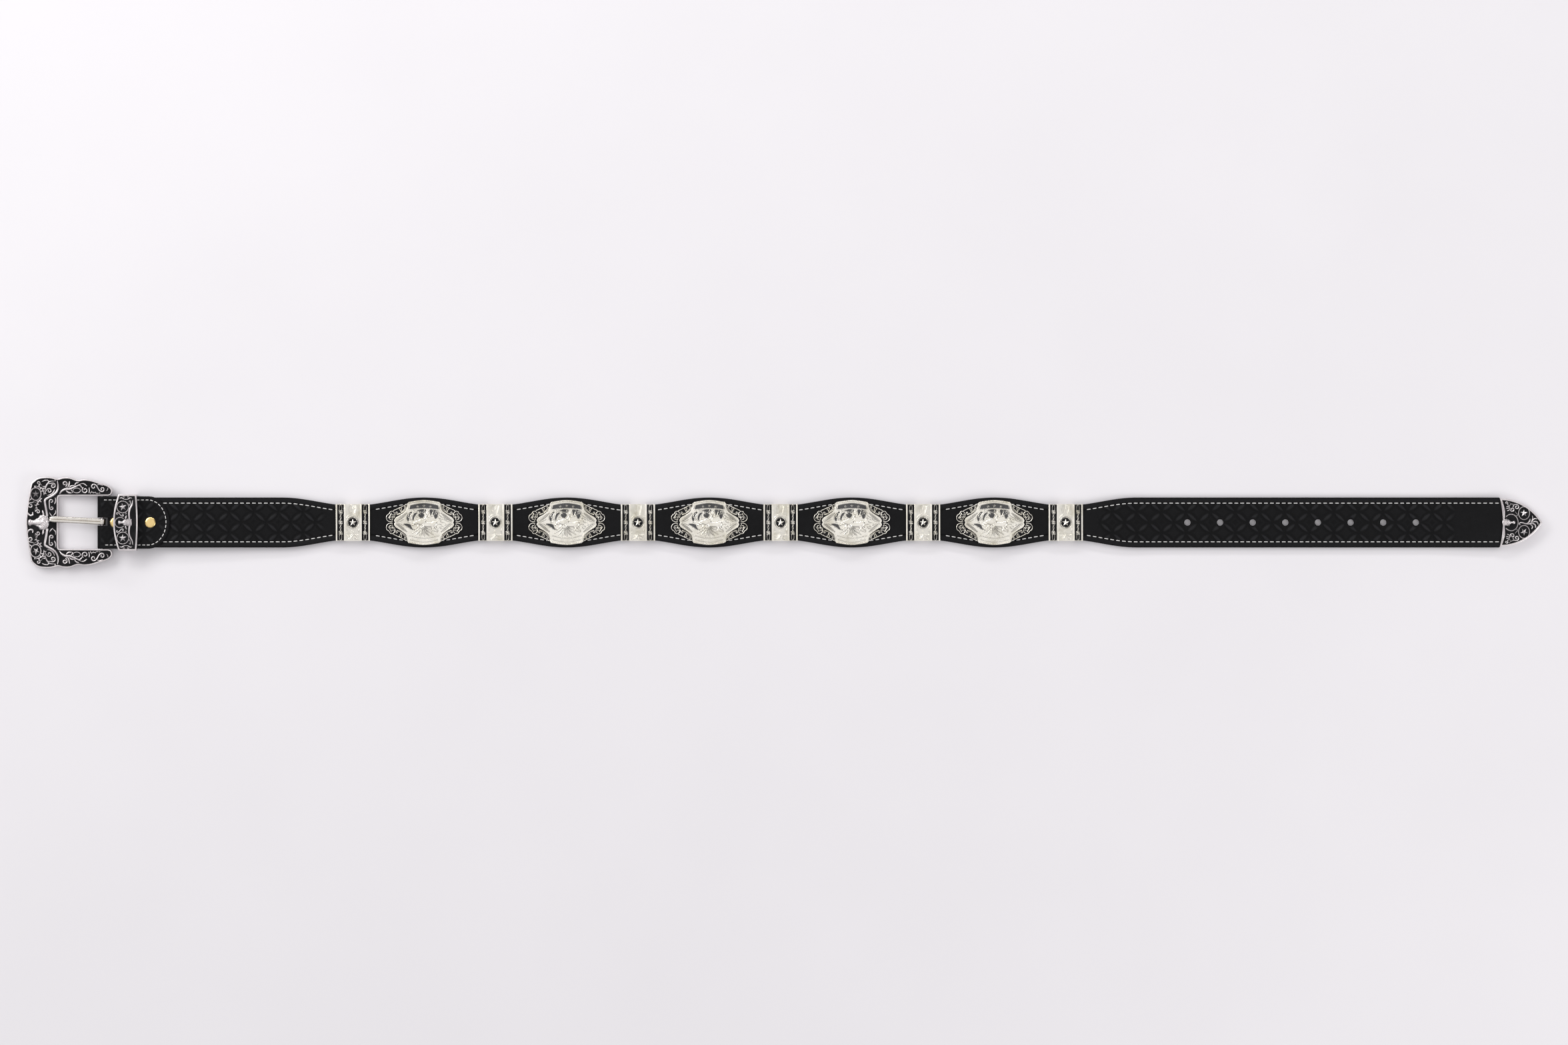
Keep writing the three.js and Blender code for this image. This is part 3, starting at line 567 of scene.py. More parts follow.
def even_path(points: Path, pitch: float) -> list[tuple[Point, float]]:
    """Places a pitch apart along a line, each with its heading in radians.

    Args:
        points: The line.
        pitch: The distance.

    Returns:
        The places and headings.
    """
    found, spare = [], pitch / 2
    for (ax, ay), (bx, by) in zip(points, points[1:]):
        reach = math.hypot(bx - ax, by - ay)
        while spare < reach:
            t = spare / reach
            found.append(((ax + (bx - ax) * t, ay + (by - ay) * t), math.atan2(by - ay, bx - ax)))
            spare += pitch
        spare -= reach
    return found


def ellipse(cx: float, cy: float, rx: float, ry: float, start: float = 0.0, sweep: float = 360.0,
            steps: int = 32) -> list[Point]:
    """Points round an ellipse or part of one."""
    return [(cx + rx * math.cos(math.radians(start + sweep * i / steps)),
             cy + ry * math.sin(math.radians(start + sweep * i / steps))) for i in range(steps + 1)]


def mirrored(upper: Path) -> list[Point]:
    """A closed outline from its upper half, mirrored over the centre line."""
    return [*upper, *((x, -y) for x, y in reversed(upper) if y > 0)]


def fourfold(quarter: Path) -> list[Point]:
    """A closed outline from its upper right quarter."""
    return mirrored([*quarter, *((-x, y) for x, y in reversed(quarter) if x > 0)])


def smoothstep(low: float, high: float, value: np.ndarray) -> np.ndarray:
    """A smooth ramp from 0 at low to 1 at high."""
    t = np.clip((value - low) / (high - low), 0, 1)
    return t * t * (3 - 2 * t)


def append(target: bmesh.types.BMesh, mesh: bpy.types.Mesh, matrix: Matrix) -> None:
    """Adds a copy of a mesh, moved by a matrix, to a bmesh.

    Args:
        target: Takes the copy.
        mesh: The mesh.
        matrix: Moves the copy.
    """
    before = len(target.verts)
    target.from_mesh(mesh)
    target.verts.ensure_lookup_table()
    bmesh.ops.transform(target, matrix=matrix, verts=target.verts[before:])


def absorb(target: bmesh.types.BMesh, part: bmesh.types.BMesh, matrix: Matrix | None = None) -> None:
    """Moves one bmesh into another and frees it.

    Args:
        target: Takes the part.
        part: Is freed.
        matrix: Moves the part.
    """
    mesh = bpy.data.meshes.new("part")
    part.to_mesh(mesh)
    part.free()
    append(target, mesh, matrix or Matrix())
    bpy.data.meshes.remove(mesh)


def slab(outline: Path, low: float, high: float) -> bmesh.types.BMesh:
    """A flat closed solid with an outline, between two heights.

    Args:
        outline: Its points, each once.
        low, high: The heights.

    Returns:
        The solid.
    """
    bm = bmesh.new()
    face = bm.faces.new([bm.verts.new((x, y, low)) for x, y in outline])
    grown = bmesh.ops.extrude_face_region(bm, geom=[face], use_keep_orig=True)["geom"]
    for vert in (item for item in grown if isinstance(item, bmesh.types.BMVert)):
        vert.co.z = high
    if not face.is_valid or len(bm.faces) < len(outline) + 2:
        bmesh.ops.holes_fill(bm, edges=[edge for edge in bm.edges if edge.is_boundary])
    bmesh.ops.recalc_face_normals(bm, faces=bm.faces)
    return bm


def top_face(bm: bmesh.types.BMesh) -> bmesh.types.BMFace:
    """The large upward face of a slab."""
    return max((face for face in bm.faces if face.normal.z > 0.9), key=lambda face: face.calc_area())


def soften(bm: bmesh.types.BMesh, edges: Iterable[bmesh.types.BMEdge], width: float,
           segments: int = 2) -> None:
    """Rounds edges."""
    bmesh.ops.bevel(bm, geom=list(edges), offset=width, offset_type="OFFSET", segments=segments, profile=0.5,
                    affect="EDGES", material=-1, clamp_overlap=True)


def tray(outline: Path, low: float, high: float, rim: float, depth: float,
         edge: float = 0.35) -> tuple[bmesh.types.BMesh, list[Point]]:
    """A plate with a raised rim.

    Args:
        outline: Its outline.
        low, high: Its underside and its rim's top.
        rim: The rim's width.
        depth: How far the floor lies under the rim's top.
        edge: The rounding of its outer edge.

    Returns:
        The plate and its floor's outline.
    """
    bm = slab(outline, low, high)
    soften(bm, [e for e in bm.edges if all(v.co.z > high - 1e-4 for v in e.verts)], edge)
    floor = top_face(bm)
    bmesh.ops.inset_region(bm, faces=[floor], thickness=rim - edge, depth=0, use_even_offset=True,
                           use_boundary=True)
    floor = top_face(bm) if not floor.is_valid else floor
    bmesh.ops.inset_region(bm, faces=[floor], thickness=0.12, depth=-depth, use_even_offset=True,
                           use_boundary=True)
    return bm, [(v.co.x, v.co.y) for v in floor.verts]


def relief(bm: bmesh.types.BMesh, strokes: Iterable[Stroke], floor: float, lift: float = 0.9,
           bold: float = 1.0) -> None:
    """Adds rounded strokes that lie on a floor.

    Args:
        bm: The mesh that takes them.
        strokes: The strokes.
        floor: Their ground's height.
        lift: Their height as a share of half their width.
        bold: How many times wider than drawn they are.
    """
    strokes = list(strokes)
    fine = max(width for stroke in strokes for width in stroke.widths) * bold < FINE_STROKE
    curve = bpy.data.curves.new("strokes", "CURVE")
    curve.dimensions, curve.bevel_depth, curve.use_fill_caps = "3D", 1.0, True
    curve.bevel_resolution = 1 if fine else 2
    for stroke in strokes:
        path = smooth_path(stroke.points, per=3) if len(stroke.points) > 2 else list(stroke.points)
        spline = curve.splines.new("POLY")
        spline.points.add(len(path) - 1)
        marks = np.linspace(0, 1, len(stroke.widths))
        for i, (point, (x, y)) in enumerate(zip(spline.points, path)):
            point.co = (x, y, 0, 1)
            point.radius = float(np.interp(i / (len(path) - 1), marks, stroke.widths)) / 2 * bold
        if stroke.knob:
            ball(bm, (*path[-1], floor + 0.1), (stroke.knob * bold,) * 3)
    holder = bpy.data.objects.new("strokes", curve)
    mesh = bpy.data.meshes.new_from_object(holder)
    append(bm, mesh, Matrix.Translation((0, 0, floor)) @ Matrix.Diagonal((1, 1, lift, 1)))
    bpy.data.objects.remove(holder)
    bpy.data.curves.remove(curve)
    bpy.data.meshes.remove(mesh)


def ball(bm: bmesh.types.BMesh, centre: Sequence[float], radii: Sequence[float], turn: float = 0.0,
         fine: int = 2) -> None:
    """Adds an ellipsoid turned about the vertical by degrees.

    Args:
        bm: Takes it.
        centre, radii: Its middle and half axes.
        turn: The degrees.
        fine: Subdivisions.
    """
    matrix = (Matrix.Translation(centre) @ Matrix.Rotation(math.radians(turn), 4, "Z")
              @ Matrix.Diagonal((*radii, 1)))
    bmesh.ops.create_icosphere(bm, subdivisions=fine, radius=1, matrix=matrix)


def rope(bm: bmesh.types.BMesh, path: Path, pitch: float, size: Sequence[float], floor: float,
         slant: float = 55.0) -> None:
    """Adds a row of slanted beads like a laid rope along a line."""
    for (x, y), heading in even_path(path, pitch):
        ball(bm, (x, y, floor + size[2] * 0.4), size, math.degrees(heading) + slant, 2)


def star(bm: bmesh.types.BMesh, cx: float, cy: float, radius: float, floor: float, height: float,
         turn: float = 90.0, waist: float = 0.38) -> None:
    """Adds a five-pointed star whose faces rise to its middle.

    Args:
        bm: Takes it.
        cx, cy, radius: Its middle and its points' distance from it.
        floor, height: The ground's height and how far the middle rises over it.
        turn: The first point's direction in degrees.
        waist: The inner corners' distance over the radius.
    """
    part = slab([(cx + radius * (1 if i % 2 == 0 else waist) * math.cos(math.radians(turn + 36 * i)),
                  cy + radius * (1 if i % 2 == 0 else waist) * math.sin(math.radians(turn + 36 * i)))
                 for i in range(10)], floor - 0.15, floor + 0.18)
    middle = bmesh.ops.poke(part, faces=[top_face(part)])["verts"][0]
    middle.co.z = floor + height
    for edge in part.edges:
        edge.smooth = False
    absorb(bm, part)


def modelled(balls: Iterable[tuple[Sequence[float], Sequence[float], float]],
             voxel: float) -> bmesh.types.BMesh:
    """One smooth form from overlapping ellipsoids, each (centre, radii, turn in degrees).

    Args:
        balls: The ellipsoids.
        voxel: The mesh's fineness.

    Returns:
        The form.
    """
    rough = bmesh.new()
    for centre, radii, turn in balls:
        ball(rough, centre, radii, turn, 3)
    mesh = bpy.data.meshes.new("rough")
    rough.to_mesh(mesh)
    rough.free()
    holder = bpy.data.objects.new("rough", mesh)
    bpy.context.scene.collection.objects.link(holder)
    remesh = holder.modifiers.new("skin", "REMESH")
    remesh.mode, remesh.voxel_size = "VOXEL", voxel
    soft = holder.modifiers.new("soft", "SMOOTH")
    soft.factor, soft.iterations = 0.5, 3
    graph = bpy.context.evaluated_depsgraph_get()
    skin = bpy.data.meshes.new_from_object(holder.evaluated_get(graph), depsgraph=graph)
    bm = bmesh.new()
    bm.from_mesh(skin)
    bpy.data.objects.remove(holder)
    bpy.data.meshes.remove(mesh)
    bpy.data.meshes.remove(skin)
    return bm


class Bench:
    """Finishes meshes into pieces and keeps one material for each finish."""

    def __init__(self) -> None:
        """Starts with no materials made."""
        self.made: dict[str, bpy.types.Material] = {}

    def piece(self, name: str, bm: bmesh.types.BMesh, finish: Finish, body: Body,
              replaces: Sequence[str] = (),
              place: Matrix | None = None, crease: float = 38.0, keep: bool = False,
              fade: Point | None = None) -> bpy.types.Object:
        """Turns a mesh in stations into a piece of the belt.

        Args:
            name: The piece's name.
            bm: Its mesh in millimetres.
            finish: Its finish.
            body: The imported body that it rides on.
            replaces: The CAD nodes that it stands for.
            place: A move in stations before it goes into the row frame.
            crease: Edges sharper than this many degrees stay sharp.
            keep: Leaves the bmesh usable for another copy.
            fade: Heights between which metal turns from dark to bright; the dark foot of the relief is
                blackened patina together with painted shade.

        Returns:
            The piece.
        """
        if finish.name not in self.made:
            self.made[finish.name] = finish.material()
        for face in bm.faces:
            face.smooth = True
        limit = math.radians(crease)
        for edge in bm.edges:
            edge.smooth = edge.smooth and not (len(edge.link_faces) == 2 and edge.calc_face_angle(0) > limit)
        mesh = bpy.data.meshes.new(name)
        bm.to_mesh(mesh)
        if not keep:
            bm.free()
        if isinstance(finish, Cast):
            spots = np.empty(len(mesh.vertices) * 3, dtype=np.float32)
            mesh.vertices.foreach_get("co", spots)
            # Painted shade with patina: lift runs from 0 at the lower height to 1 at the upper, so the foot
            # of each relief stroke is coloured dark.
            lift = smoothstep(*fade, spots[2::3]) if fade else np.ones(len(mesh.vertices))
            mesh.attributes.new("lift", "FLOAT", "POINT").data.foreach_set("value", lift.astype(np.float32))
        mesh.transform(TO_ROW @ (place or Matrix()))
        mesh.materials.append(self.made[finish.name])
        piece = bpy.data.objects.new(name, mesh)
        bpy.context.scene.collection.objects.link(piece)
        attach(piece, body.value)
        if replaces:
            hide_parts(*replaces)
        LOG.info("%s: %d faces", name, len(mesh.polygons))
        return piece


@dataclass
class Studio:
    """The camera, a pale floor and soft light."""

    view_width: float = 1.192
    lens: float = 200.0
    sensor: float = 36.0
    floor_size: float = 12.0

    def camera(self) -> None:
        """Looks straight down on the whole belt, through a long lens as in the photograph."""
        data = bpy.data.cameras.new("camera")
        data.lens, data.sensor_width, data.clip_end = self.lens, self.sensor, 50
        camera = bpy.data.objects.new("camera", data)
        camera.location = (0, 0, self.view_width * self.lens / self.sensor)
        bpy.context.scene.collection.objects.link(camera)
        bpy.context.scene.camera = camera

    def floor(self) -> None:
        """A pale floor that is no part of the belt."""
        bm = bmesh.new()
        bmesh.ops.create_grid(bm, x_segments=2, y_segments=2, size=self.floor_size / 2)
        mesh = bpy.data.meshes.new("floor")
        bm.to_mesh(mesh)
        bm.free()
        mesh.materials.append(surface("pale_floor", lambda tree, where: {
            "Base Color": tree.blend(tree.noise(where, 6), (0.83, 0.81, 0.83), (0.87, 0.85, 0.87)),
            "Roughness": 0.8, "Specular IOR Level": 0.2}))
        floor = bpy.data.objects.new("floor", mesh)
        floor.location.z = -0.00005
        bpy.context.scene.collection.objects.link(floor)

    def lamp(self, name: str, place: Sequence[float], size: Sequence[float], power: float) -> None:
        """An area light aimed at the belt's middle.

        Args:
            name: Its name.
            place: Where it hangs, in metres.
            size: Its length and width.
            power: Watts.
        """
        data = bpy.data.lights.new(name, "AREA")
        data.shape, data.size, data.size_y, data.energy = "RECTANGLE", size[0], size[1], power
        lamp = bpy.data.objects.new(name, data)
        lamp.location = place
        lamp.rotation_euler = (-Vector(place)).to_track_quat("-Z", "Y").to_euler()
        bpy.context.scene.collection.objects.link(lamp)

    def build(self) -> None:
        """Sets up everything."""
        self.camera()
        self.floor()
        self.lamp("left_window", (-1.5, 1.0, 1.3), (1.6, 0.8), 18)
        self.lamp("right_fill", (1.6, -0.9, 1.2), (1.4, 0.7), 11)
        self.lamp("strip_above", (0.2, 1.6, 0.9), (2.2, 0.25), 9)
        world = bpy.data.worlds.new("soft_room")
        world.use_nodes = True
        tree = Tree(world.node_tree)
        normal = tree.add("ShaderNodeTexCoord", {}, {}, "Generated")
        height = tree.add("ShaderNodeSeparateXYZ", {}, {0: normal}, "Z")
        patches = tree.noise(normal, 2.2, 1)
        sky = tree.add("ShaderNodeValToRGB", {"stops": [
            (0.0, (0.3, 0.3, 0.31, 1)), (0.45, (0.16, 0.16, 0.17, 1)), (0.62, (0.55, 0.54, 0.56, 1)),
            (0.86, (1.0, 0.99, 1.0, 1))]}, {0: height * 0.8 + patches * 0.35 - 0.06})
        shade = tree.add("ShaderNodeBackground", {}, {"Color": sky, "Strength": 0.95})
        tree.add("ShaderNodeOutputWorld", {}, {"Surface": shade})
        bpy.context.scene.world = world
        bpy.context.scene.view_settings.view_transform = "Standard"


@dataclass
class Strap:
    """The long scalloped strap with embossed petals, punched holes and a stitched edge."""

    width: float = 38.0
    waist: float = 25.7
    start: float = 62.3
    end: float = 1149.6
    raised: float = 3.55
    level: float = 0.9
    stitch_inset: float = 4.3
    stitch_pitch: float = 4.5
    hole_diameter: float = 4.9
    petal_pitch: float = 18.7
    petal_rise: float = 8.0
    petal_zones: tuple[Point, ...] = ((104.0, 229.0), (812.0, 1088.0))

    def half_width(self, s: np.ndarray) -> np.ndarray:
        """Half of the width at stations.

        Args:
            s: Stations.

        Returns:
            Half widths.
        """
        full = self.width / 2
        phase = np.cos(2 * np.pi * (s - FIRST_SLIDER) / SCALLOP_PITCH)
        wavy = full - (self.width - self.waist) * (1 + phase) / 4
        inside = (s > FIRST_SLIDER - SCALLOP_PITCH / 2) & (s < LAST_SLIDER + SCALLOP_PITCH / 2)
        point = Tip().half_width(s) - 1.2
        return np.where(s > TIP_START, point, np.where(inside, wavy, full))

    def underside(self, s: np.ndarray) -> np.ndarray:
        """The height of the back at stations.

        Args:
            s: Stations.

        Returns:
            Heights.
        """
        down = smoothstep(CHAPE_END + 2, FIRST_SLIDER - 22, s)
        ground = smoothstep(LAST_SLIDER + 20, LAST_SLIDER + 80, s)
        rise = smoothstep(TIP_START - 60, TIP_START - 5, s)
        return (self.raised + (self.level - self.raised) * down) * (1 - ground) + 0.95 * rise

    def petals(self, x: np.ndarray, y: np.ndarray, rise: float) -> np.ndarray:
        """The height of a field of pillowed petals round flower centres.

        Args:
            x, y: Places, with a flower centre at the origin.
            rise: How far apart the rows of flowers' tips lie.

        Returns:
            Heights in millimetres.
        """
        half = self.petal_pitch / 2
        a = np.abs((x + half) % self.petal_pitch - half)
        b = np.abs((y + rise) % (2 * rise) - rise)
        reach = math.hypot(half, rise)
        along = ((a - half / 2) * half + (b - rise / 2) * rise) / reach
        across = np.abs((b - rise / 2) * half - (a - half / 2) * rise) / reach
        beyond = across - 1.95 * np.clip(1 - (along / (reach * 0.49)) ** 2, -1, 1)
        gap = np.minimum(np.hypot(half - a, b), np.hypot(a, rise - b))
        cross = np.exp(-(np.minimum(np.abs(half - a), b) / 0.7) ** 2) * np.exp(-(gap / 1.9) ** 4)
        return 0.42 * smoothstep(0.3, -1.8, beyond) - 0.3 * np.exp(-(beyond / 0.8) ** 2) - 0.2 * cross

    def emboss(self, s: np.ndarray, y: np.ndarray) -> np.ndarray:
        """The low relief of the top: petals, the sunken seam and the holes' pressed rims.

        Args:
            s, y: Places on the strap.

        Returns:
            Heights over the plain top.
        """
        half = self.half_width(s)
        inset = half - np.abs(y)
        height = -0.55 * np.clip(1 - inset / 0.8, 0, 1) ** 2
        height -= 0.42 * np.exp(-((inset - self.stitch_inset) / 0.55) ** 2)
        height += 0.1 * smoothstep(self.stitch_inset - 0.5, self.stitch_inset - 1.1, inset)
        inner = smoothstep(self.stitch_inset + 0.4, self.stitch_inset + 1.4, inset)
        for low, high in self.petal_zones:
            zone = smoothstep(low, low + 9, s) * (1 - smoothstep(high - 9, high, s))
            height += self.petals(s - low - 4, y, self.petal_rise) * zone * inner
        for station in HOLE_STATIONS:
            around = np.hypot(s - station, y)
            height = np.where(around < 4.4, height * smoothstep(3.3, 4.4, around), height)
            height -= 0.3 * np.exp(-((around - 2.3) / 0.7) ** 2)
        return height

    def stations(self) -> np.ndarray:
        """Stations of the mesh, close together where petals are pressed in.

        Returns:
            The stations.
        """
        marks = [self.start]
        while marks[-1] < self.end - 0.5:
            fine = any(low - 2 < marks[-1] < high + 2 for low, high in self.petal_zones)
            marks.append(marks[-1] + (0.72 if fine else 2.6))
        return np.array([*marks[:-1], self.end])

    def rows(self, s: np.ndarray) -> np.ndarray:
        """Distances from the centre line of the mesh's rows, for each station.

        Args:
            s: Stations.

        Returns:
            A row of distances for each.
        """
        edge = np.array([0, 0.35, 0.8, 1.8, 3.1, 3.8, 4.3, 4.8, 5.5])
        half = self.half_width(s)[:, None]
        squeeze = np.minimum(1, half / 12)
        inner = (half - 5.5 * squeeze) * np.linspace(1, -1, 31)[None, 1:-1]
        outer = half - edge[None, :] * squeeze
        return np.concatenate([outer, inner, -outer[:, ::-1]], axis=1)

    def sheet(self) -> bmesh.types.BMesh:
        """The strap as a closed solid before its holes.

        Returns:
            The solid.
        """
        s = self.stations()
        y = self.rows(s)
        count_s, count_y = y.shape
        grid_s = np.repeat(s[:, None], count_y, axis=1)
        low = np.repeat(self.underside(s)[:, None], count_y, axis=1)
        press = self.emboss(grid_s, y)
        top = low + STRAP_THICKNESS + press
        bm = bmesh.new()
        # The emboss height is stored on the top's points so that the leather's colour can paint light and
        # shade from it.
        mark = bm.verts.layers.float.new("press")
        bmesh.ops.create_grid(bm, x_segments=count_s - 1, y_segments=count_y - 1, size=0.5)
        places = [(round((v.co.x + 0.5) * (count_s - 1)), round((v.co.y + 0.5) * (count_y - 1)))
                  for v in bm.verts]
        base = list(bm.verts)
        grown = bmesh.ops.extrude_face_region(bm, geom=[*bm.faces, *bm.edges, *bm.verts],
                                              use_keep_orig=True)["geom"]
        lifted = {(round(v.co.x, 6), round(v.co.y, 6)): v for v in grown if isinstance(v, bmesh.types.BMVert)}
        pairs = [(v, lifted[(round(v.co.x, 6), round(v.co.y, 6))], place) for v, place in zip(base, places)]
        for vert, above, (i, j) in pairs:
            round_off = 0.35 if j in (0, count_y - 1) else 0.0
            vert.co = (s[i], y[i, j], low[i, j] + round_off)
            above.co = (s[i], y[i, j], top[i, j])
            above[mark] = press[i, j]
        bmesh.ops.recalc_face_normals(bm, faces=bm.faces)
        return bm

    def punch(self, piece: bpy.types.Object) -> None:
        """Cuts the holes.

        Args:
            piece: The finished strap.
        """
        bm = bmesh.new()
        for station in HOLE_STATIONS:
            matrix = Matrix.Translation((station, 0, 2.5))
            bmesh.ops.create_cone(bm, cap_ends=True, segments=28, radius1=self.hole_diameter / 2,
                                  radius2=self.hole_diameter / 2, depth=16, matrix=matrix)
        mesh = bpy.data.meshes.new("punches")
        bm.to_mesh(mesh)
        bm.free()
        mesh.transform(TO_ROW)
        holder = bpy.data.objects.new("punches", mesh)
        bpy.context.scene.collection.objects.link(holder)
        cut = piece.modifiers.new("holes", "BOOLEAN")
        cut.operation, cut.solver, cut.object = "DIFFERENCE", "EXACT", holder
        graph = bpy.context.evaluated_depsgraph_get()
        done = bpy.data.meshes.new_from_object(piece.evaluated_get(graph), depsgraph=graph)
        piece.modifiers.clear()
        old, piece.data = piece.data, done
        bpy.data.meshes.remove(old)
        bpy.data.objects.remove(holder)
        bpy.data.meshes.remove(mesh)

    def seam(self) -> bmesh.types.BMesh:
        """The stitches along both edges, left out where metal covers them.

        Returns:
            The stitches.
        """
        marks = np.arange(CHAPE_END - 6, TIP_START + 1, 0.5)
        line_y = self.half_width(marks) - self.stitch_inset
        height = self.underside(marks) + STRAP_THICKNESS - 0.42
        bm = bmesh.new()
        stitch = stitch_mesh(3.1, 0.36)
        for (s, y), heading in even_path(list(zip(marks, line_y)), self.stitch_pitch):
            if any(abs(s - centre) < 14.5 for centre in slider_stations()):
                continue
            z = float(np.interp(s, marks, height)) + 0.22
            for side in (1, -1):
                append(bm, stitch,
                       Matrix.Translation((s, side * y, z)) @ Matrix.Rotation(side * heading, 4, "Z"))
        bpy.data.meshes.remove(stitch)
        return bm

    def build(self, bench: Bench) -> None:
        """Makes the strap and its seam.

        Args:
            bench: Where pieces are finished.
        """
        strap = bench.piece("strap_leather", self.sheet(), STRAP_LEATHER, Body.BELT, ["strap"], crease=50)
        self.punch(strap)
        bench.piece("strap_stitches", self.seam(), WHITE_THREAD, Body.BELT)


def slider_stations() -> list[float]:
    """The sliders' middles."""
    return [FIRST_SLIDER + SCALLOP_PITCH * i for i in range(SLIDER_COUNT)]


def stitch_mesh(length: float, radius: float) -> bpy.types.Mesh:
    """One stitch as a small capsule along the belt, dipping at its ends.

    Args:
        length, radius: The capsule's size.

    Returns:
        Its mesh.
    """
    bm = bmesh.new()
    bmesh.ops.create_uvsphere(bm, u_segments=8, v_segments=6, radius=1,
                              matrix=Matrix.Rotation(math.pi / 2, 4, "Y"))
    for vert in bm.verts:
        t = vert.co.x
        body = math.copysign(abs(t) ** 0.45, t)
        girth = (math.sqrt(max(0, 1 - body ** 6)) / max(1e-6, math.sqrt(max(1e-9, 1 - t * t)))
                 if abs(t) < 0.999 else 1)
        vert.co = (body * length / 2, vert.co.y * girth * radius,
                   vert.co.z * girth * radius - 0.28 * body ** 4)
    mesh = bpy.data.meshes.new("stitch")
    bm.to_mesh(mesh)
    bm.free()
    return mesh


@dataclass
class Chape:
    """The folded strap round the bar, with a half-round end, a prong slot and its own seam."""

    width: float = 39.8
    leaf: float = 1.8
    fold: float = 2.7
    round_start: float = 93.0
    slot_low: float = -2.35
    slot_high: float = 3.75
    slot_end: float = 64.4
    stitch_inset: float = 2.8
    stitch_pitch: float = 3.5

    def half_width(self, s: float) -> float:
        """Half of the width at a station.

        Args:
            s: The station.

        Returns:
            The half width.
        """
        if s <= self.round_start:
            return self.width / 2
        t = min(1.0, (s - self.round_start) / (CHAPE_END - self.round_start))
        return self.width / 2 * math.sqrt(max(0.0, 1 - t * t))

    def centre(self, t: float) -> tuple[float, float, float, float]:
        """A point of the folded centre line and its outward normal, by length from the top leaf's end.

        Args:
            t: The length.

        Returns:
            Station, height and the normal's two parts.
        """
        flat = CHAPE_END - BAR_STATION
        bend = math.pi * self.fold
        if t <= flat:
            return CHAPE_END - t, BAR_HEIGHT + self.fold, 0.0, 1.0
        if t >= flat + bend:
            return BAR_STATION + (t - flat - bend), BAR_HEIGHT - self.fold, 0.0, -1.0
        angle = math.pi / 2 + (t - flat) / self.fold
        return (BAR_STATION + self.fold * math.cos(angle), BAR_HEIGHT + self.fold * math.sin(angle),
                math.cos(angle), math.sin(angle))

    def marks(self) -> list[float]:
        """Lengths of the mesh's sections from the top leaf's end to the lower one's.

        Returns:
            The lengths.
        """
        flat, bend = CHAPE_END - BAR_STATION, math.pi * self.fold
        tip = [(CHAPE_END - self.round_start) * (1 - math.cos(math.pi / 2 * i / 16)) for i in range(17)]
        body = list(np.linspace(tip[-1], CHAPE_END - self.slot_end, 40))[1:]
        slot = list(np.linspace(CHAPE_END - self.slot_end, flat, 6))[1:]
        turn = [flat + bend * i / 14 for i in range(1, 15)]
        total = 2 * flat + bend
        back = sorted({round(total - t, 6)
                       for t in [*tip, *slot[:-1], CHAPE_END - self.slot_end, *body[::6]]})
        return [*tip, *body, *slot, *turn, *back]

    def leather(self) -> bmesh.types.BMesh:
        """The folded leaf as a closed solid with its slot.

        Returns:
            The solid.
        """
        marks = self.marks()
        half = self.width / 2
        edge = [half, half - 0.35, half - 0.8, half - 1.6, half - 2.3, half - 2.8, half - 3.3, half - 4]
        upper = list(np.linspace(half - 4, self.slot_high, 16))[1:]
        lower = list(np.linspace(self.slot_low, -half + 4, 18))
        rows = [*edge, *upper, *np.linspace(self.slot_high, self.slot_low, 7)[1:-1], *lower,
                *(-y for y in edge[-2::-1])]
        count_s, count_y = len(marks), len(rows)
        bm = bmesh.new()
        mark = bm.verts.layers.float.new("press")
        bmesh.ops.create_grid(bm, x_segments=count_s - 1, y_segments=count_y - 1, size=0.5)
        index = {v: (round((v.co.x + 0.5) * (count_s - 1)), round((v.co.y + 0.5) * (count_y - 1)))
                 for v in bm.verts}
        doomed = [f for f in bm.faces
                  if all(self.centre(marks[index[v][0]])[0] < self.slot_end + 0.01
                         and self.slot_low - 0.01 < rows[index[v][1]] < self.slot_high + 0.01
                         for v in f.verts)]
        bmesh.ops.delete(bm, geom=doomed, context="FACES")
        base = list(bm.verts)
        spots = {(round(v.co.x, 6), round(v.co.y, 6)): index[v] for v in base}
        grown = bmesh.ops.extrude_face_region(bm, geom=[*bm.faces, *bm.edges, *bm.verts],
                                              use_keep_orig=True)["geom"]
        lifted = {v for v in grown if isinstance(v, bmesh.types.BMVert)}
        emboss = Strap()
        for vert in [*base, *lifted]:
            i, j = spots[(round(vert.co.x, 6), round(vert.co.y, 6))]
            s, z, nx, nz = self.centre(marks[i])
            y = rows[j] * max(self.half_width(s), 0.4) / half
            offset = -self.leaf / 2
            if vert in lifted:
                inset = min(half - abs(rows[j]), self.inset(s, y))
                offset = self.leaf / 2 - 0.4 * max(0.0, 1 - inset / 0.8) ** 2
                if nz > 0.99:
                    offset -= 0.3 * math.exp(-((inset - self.stitch_inset) / 0.45) ** 2)
                    gap = math.hypot(max(0.0, s - self.slot_end),
                                     max(self.slot_low - y, y - self.slot_high, 0.0))
                    deep = float(smoothstep(3.6, 4.6, np.array(inset)) * smoothstep(0.8, 3.0, np.array(gap)))
                    # The petals' height is stored so that the leather's colour paints light on them and shade
                    # round them.
                    vert[mark] = deep * float(emboss.petals(np.array(s - 71.5), np.array(y - 8.6), 8.6))
                    offset += 0.8 * vert[mark]
            vert.co = (s + nx * offset, y, z + nz * offset)
        bmesh.ops.remove_doubles(bm, verts=bm.verts, dist=1e-4)
        bmesh.ops.recalc_face_normals(bm, faces=bm.faces)
        return bm

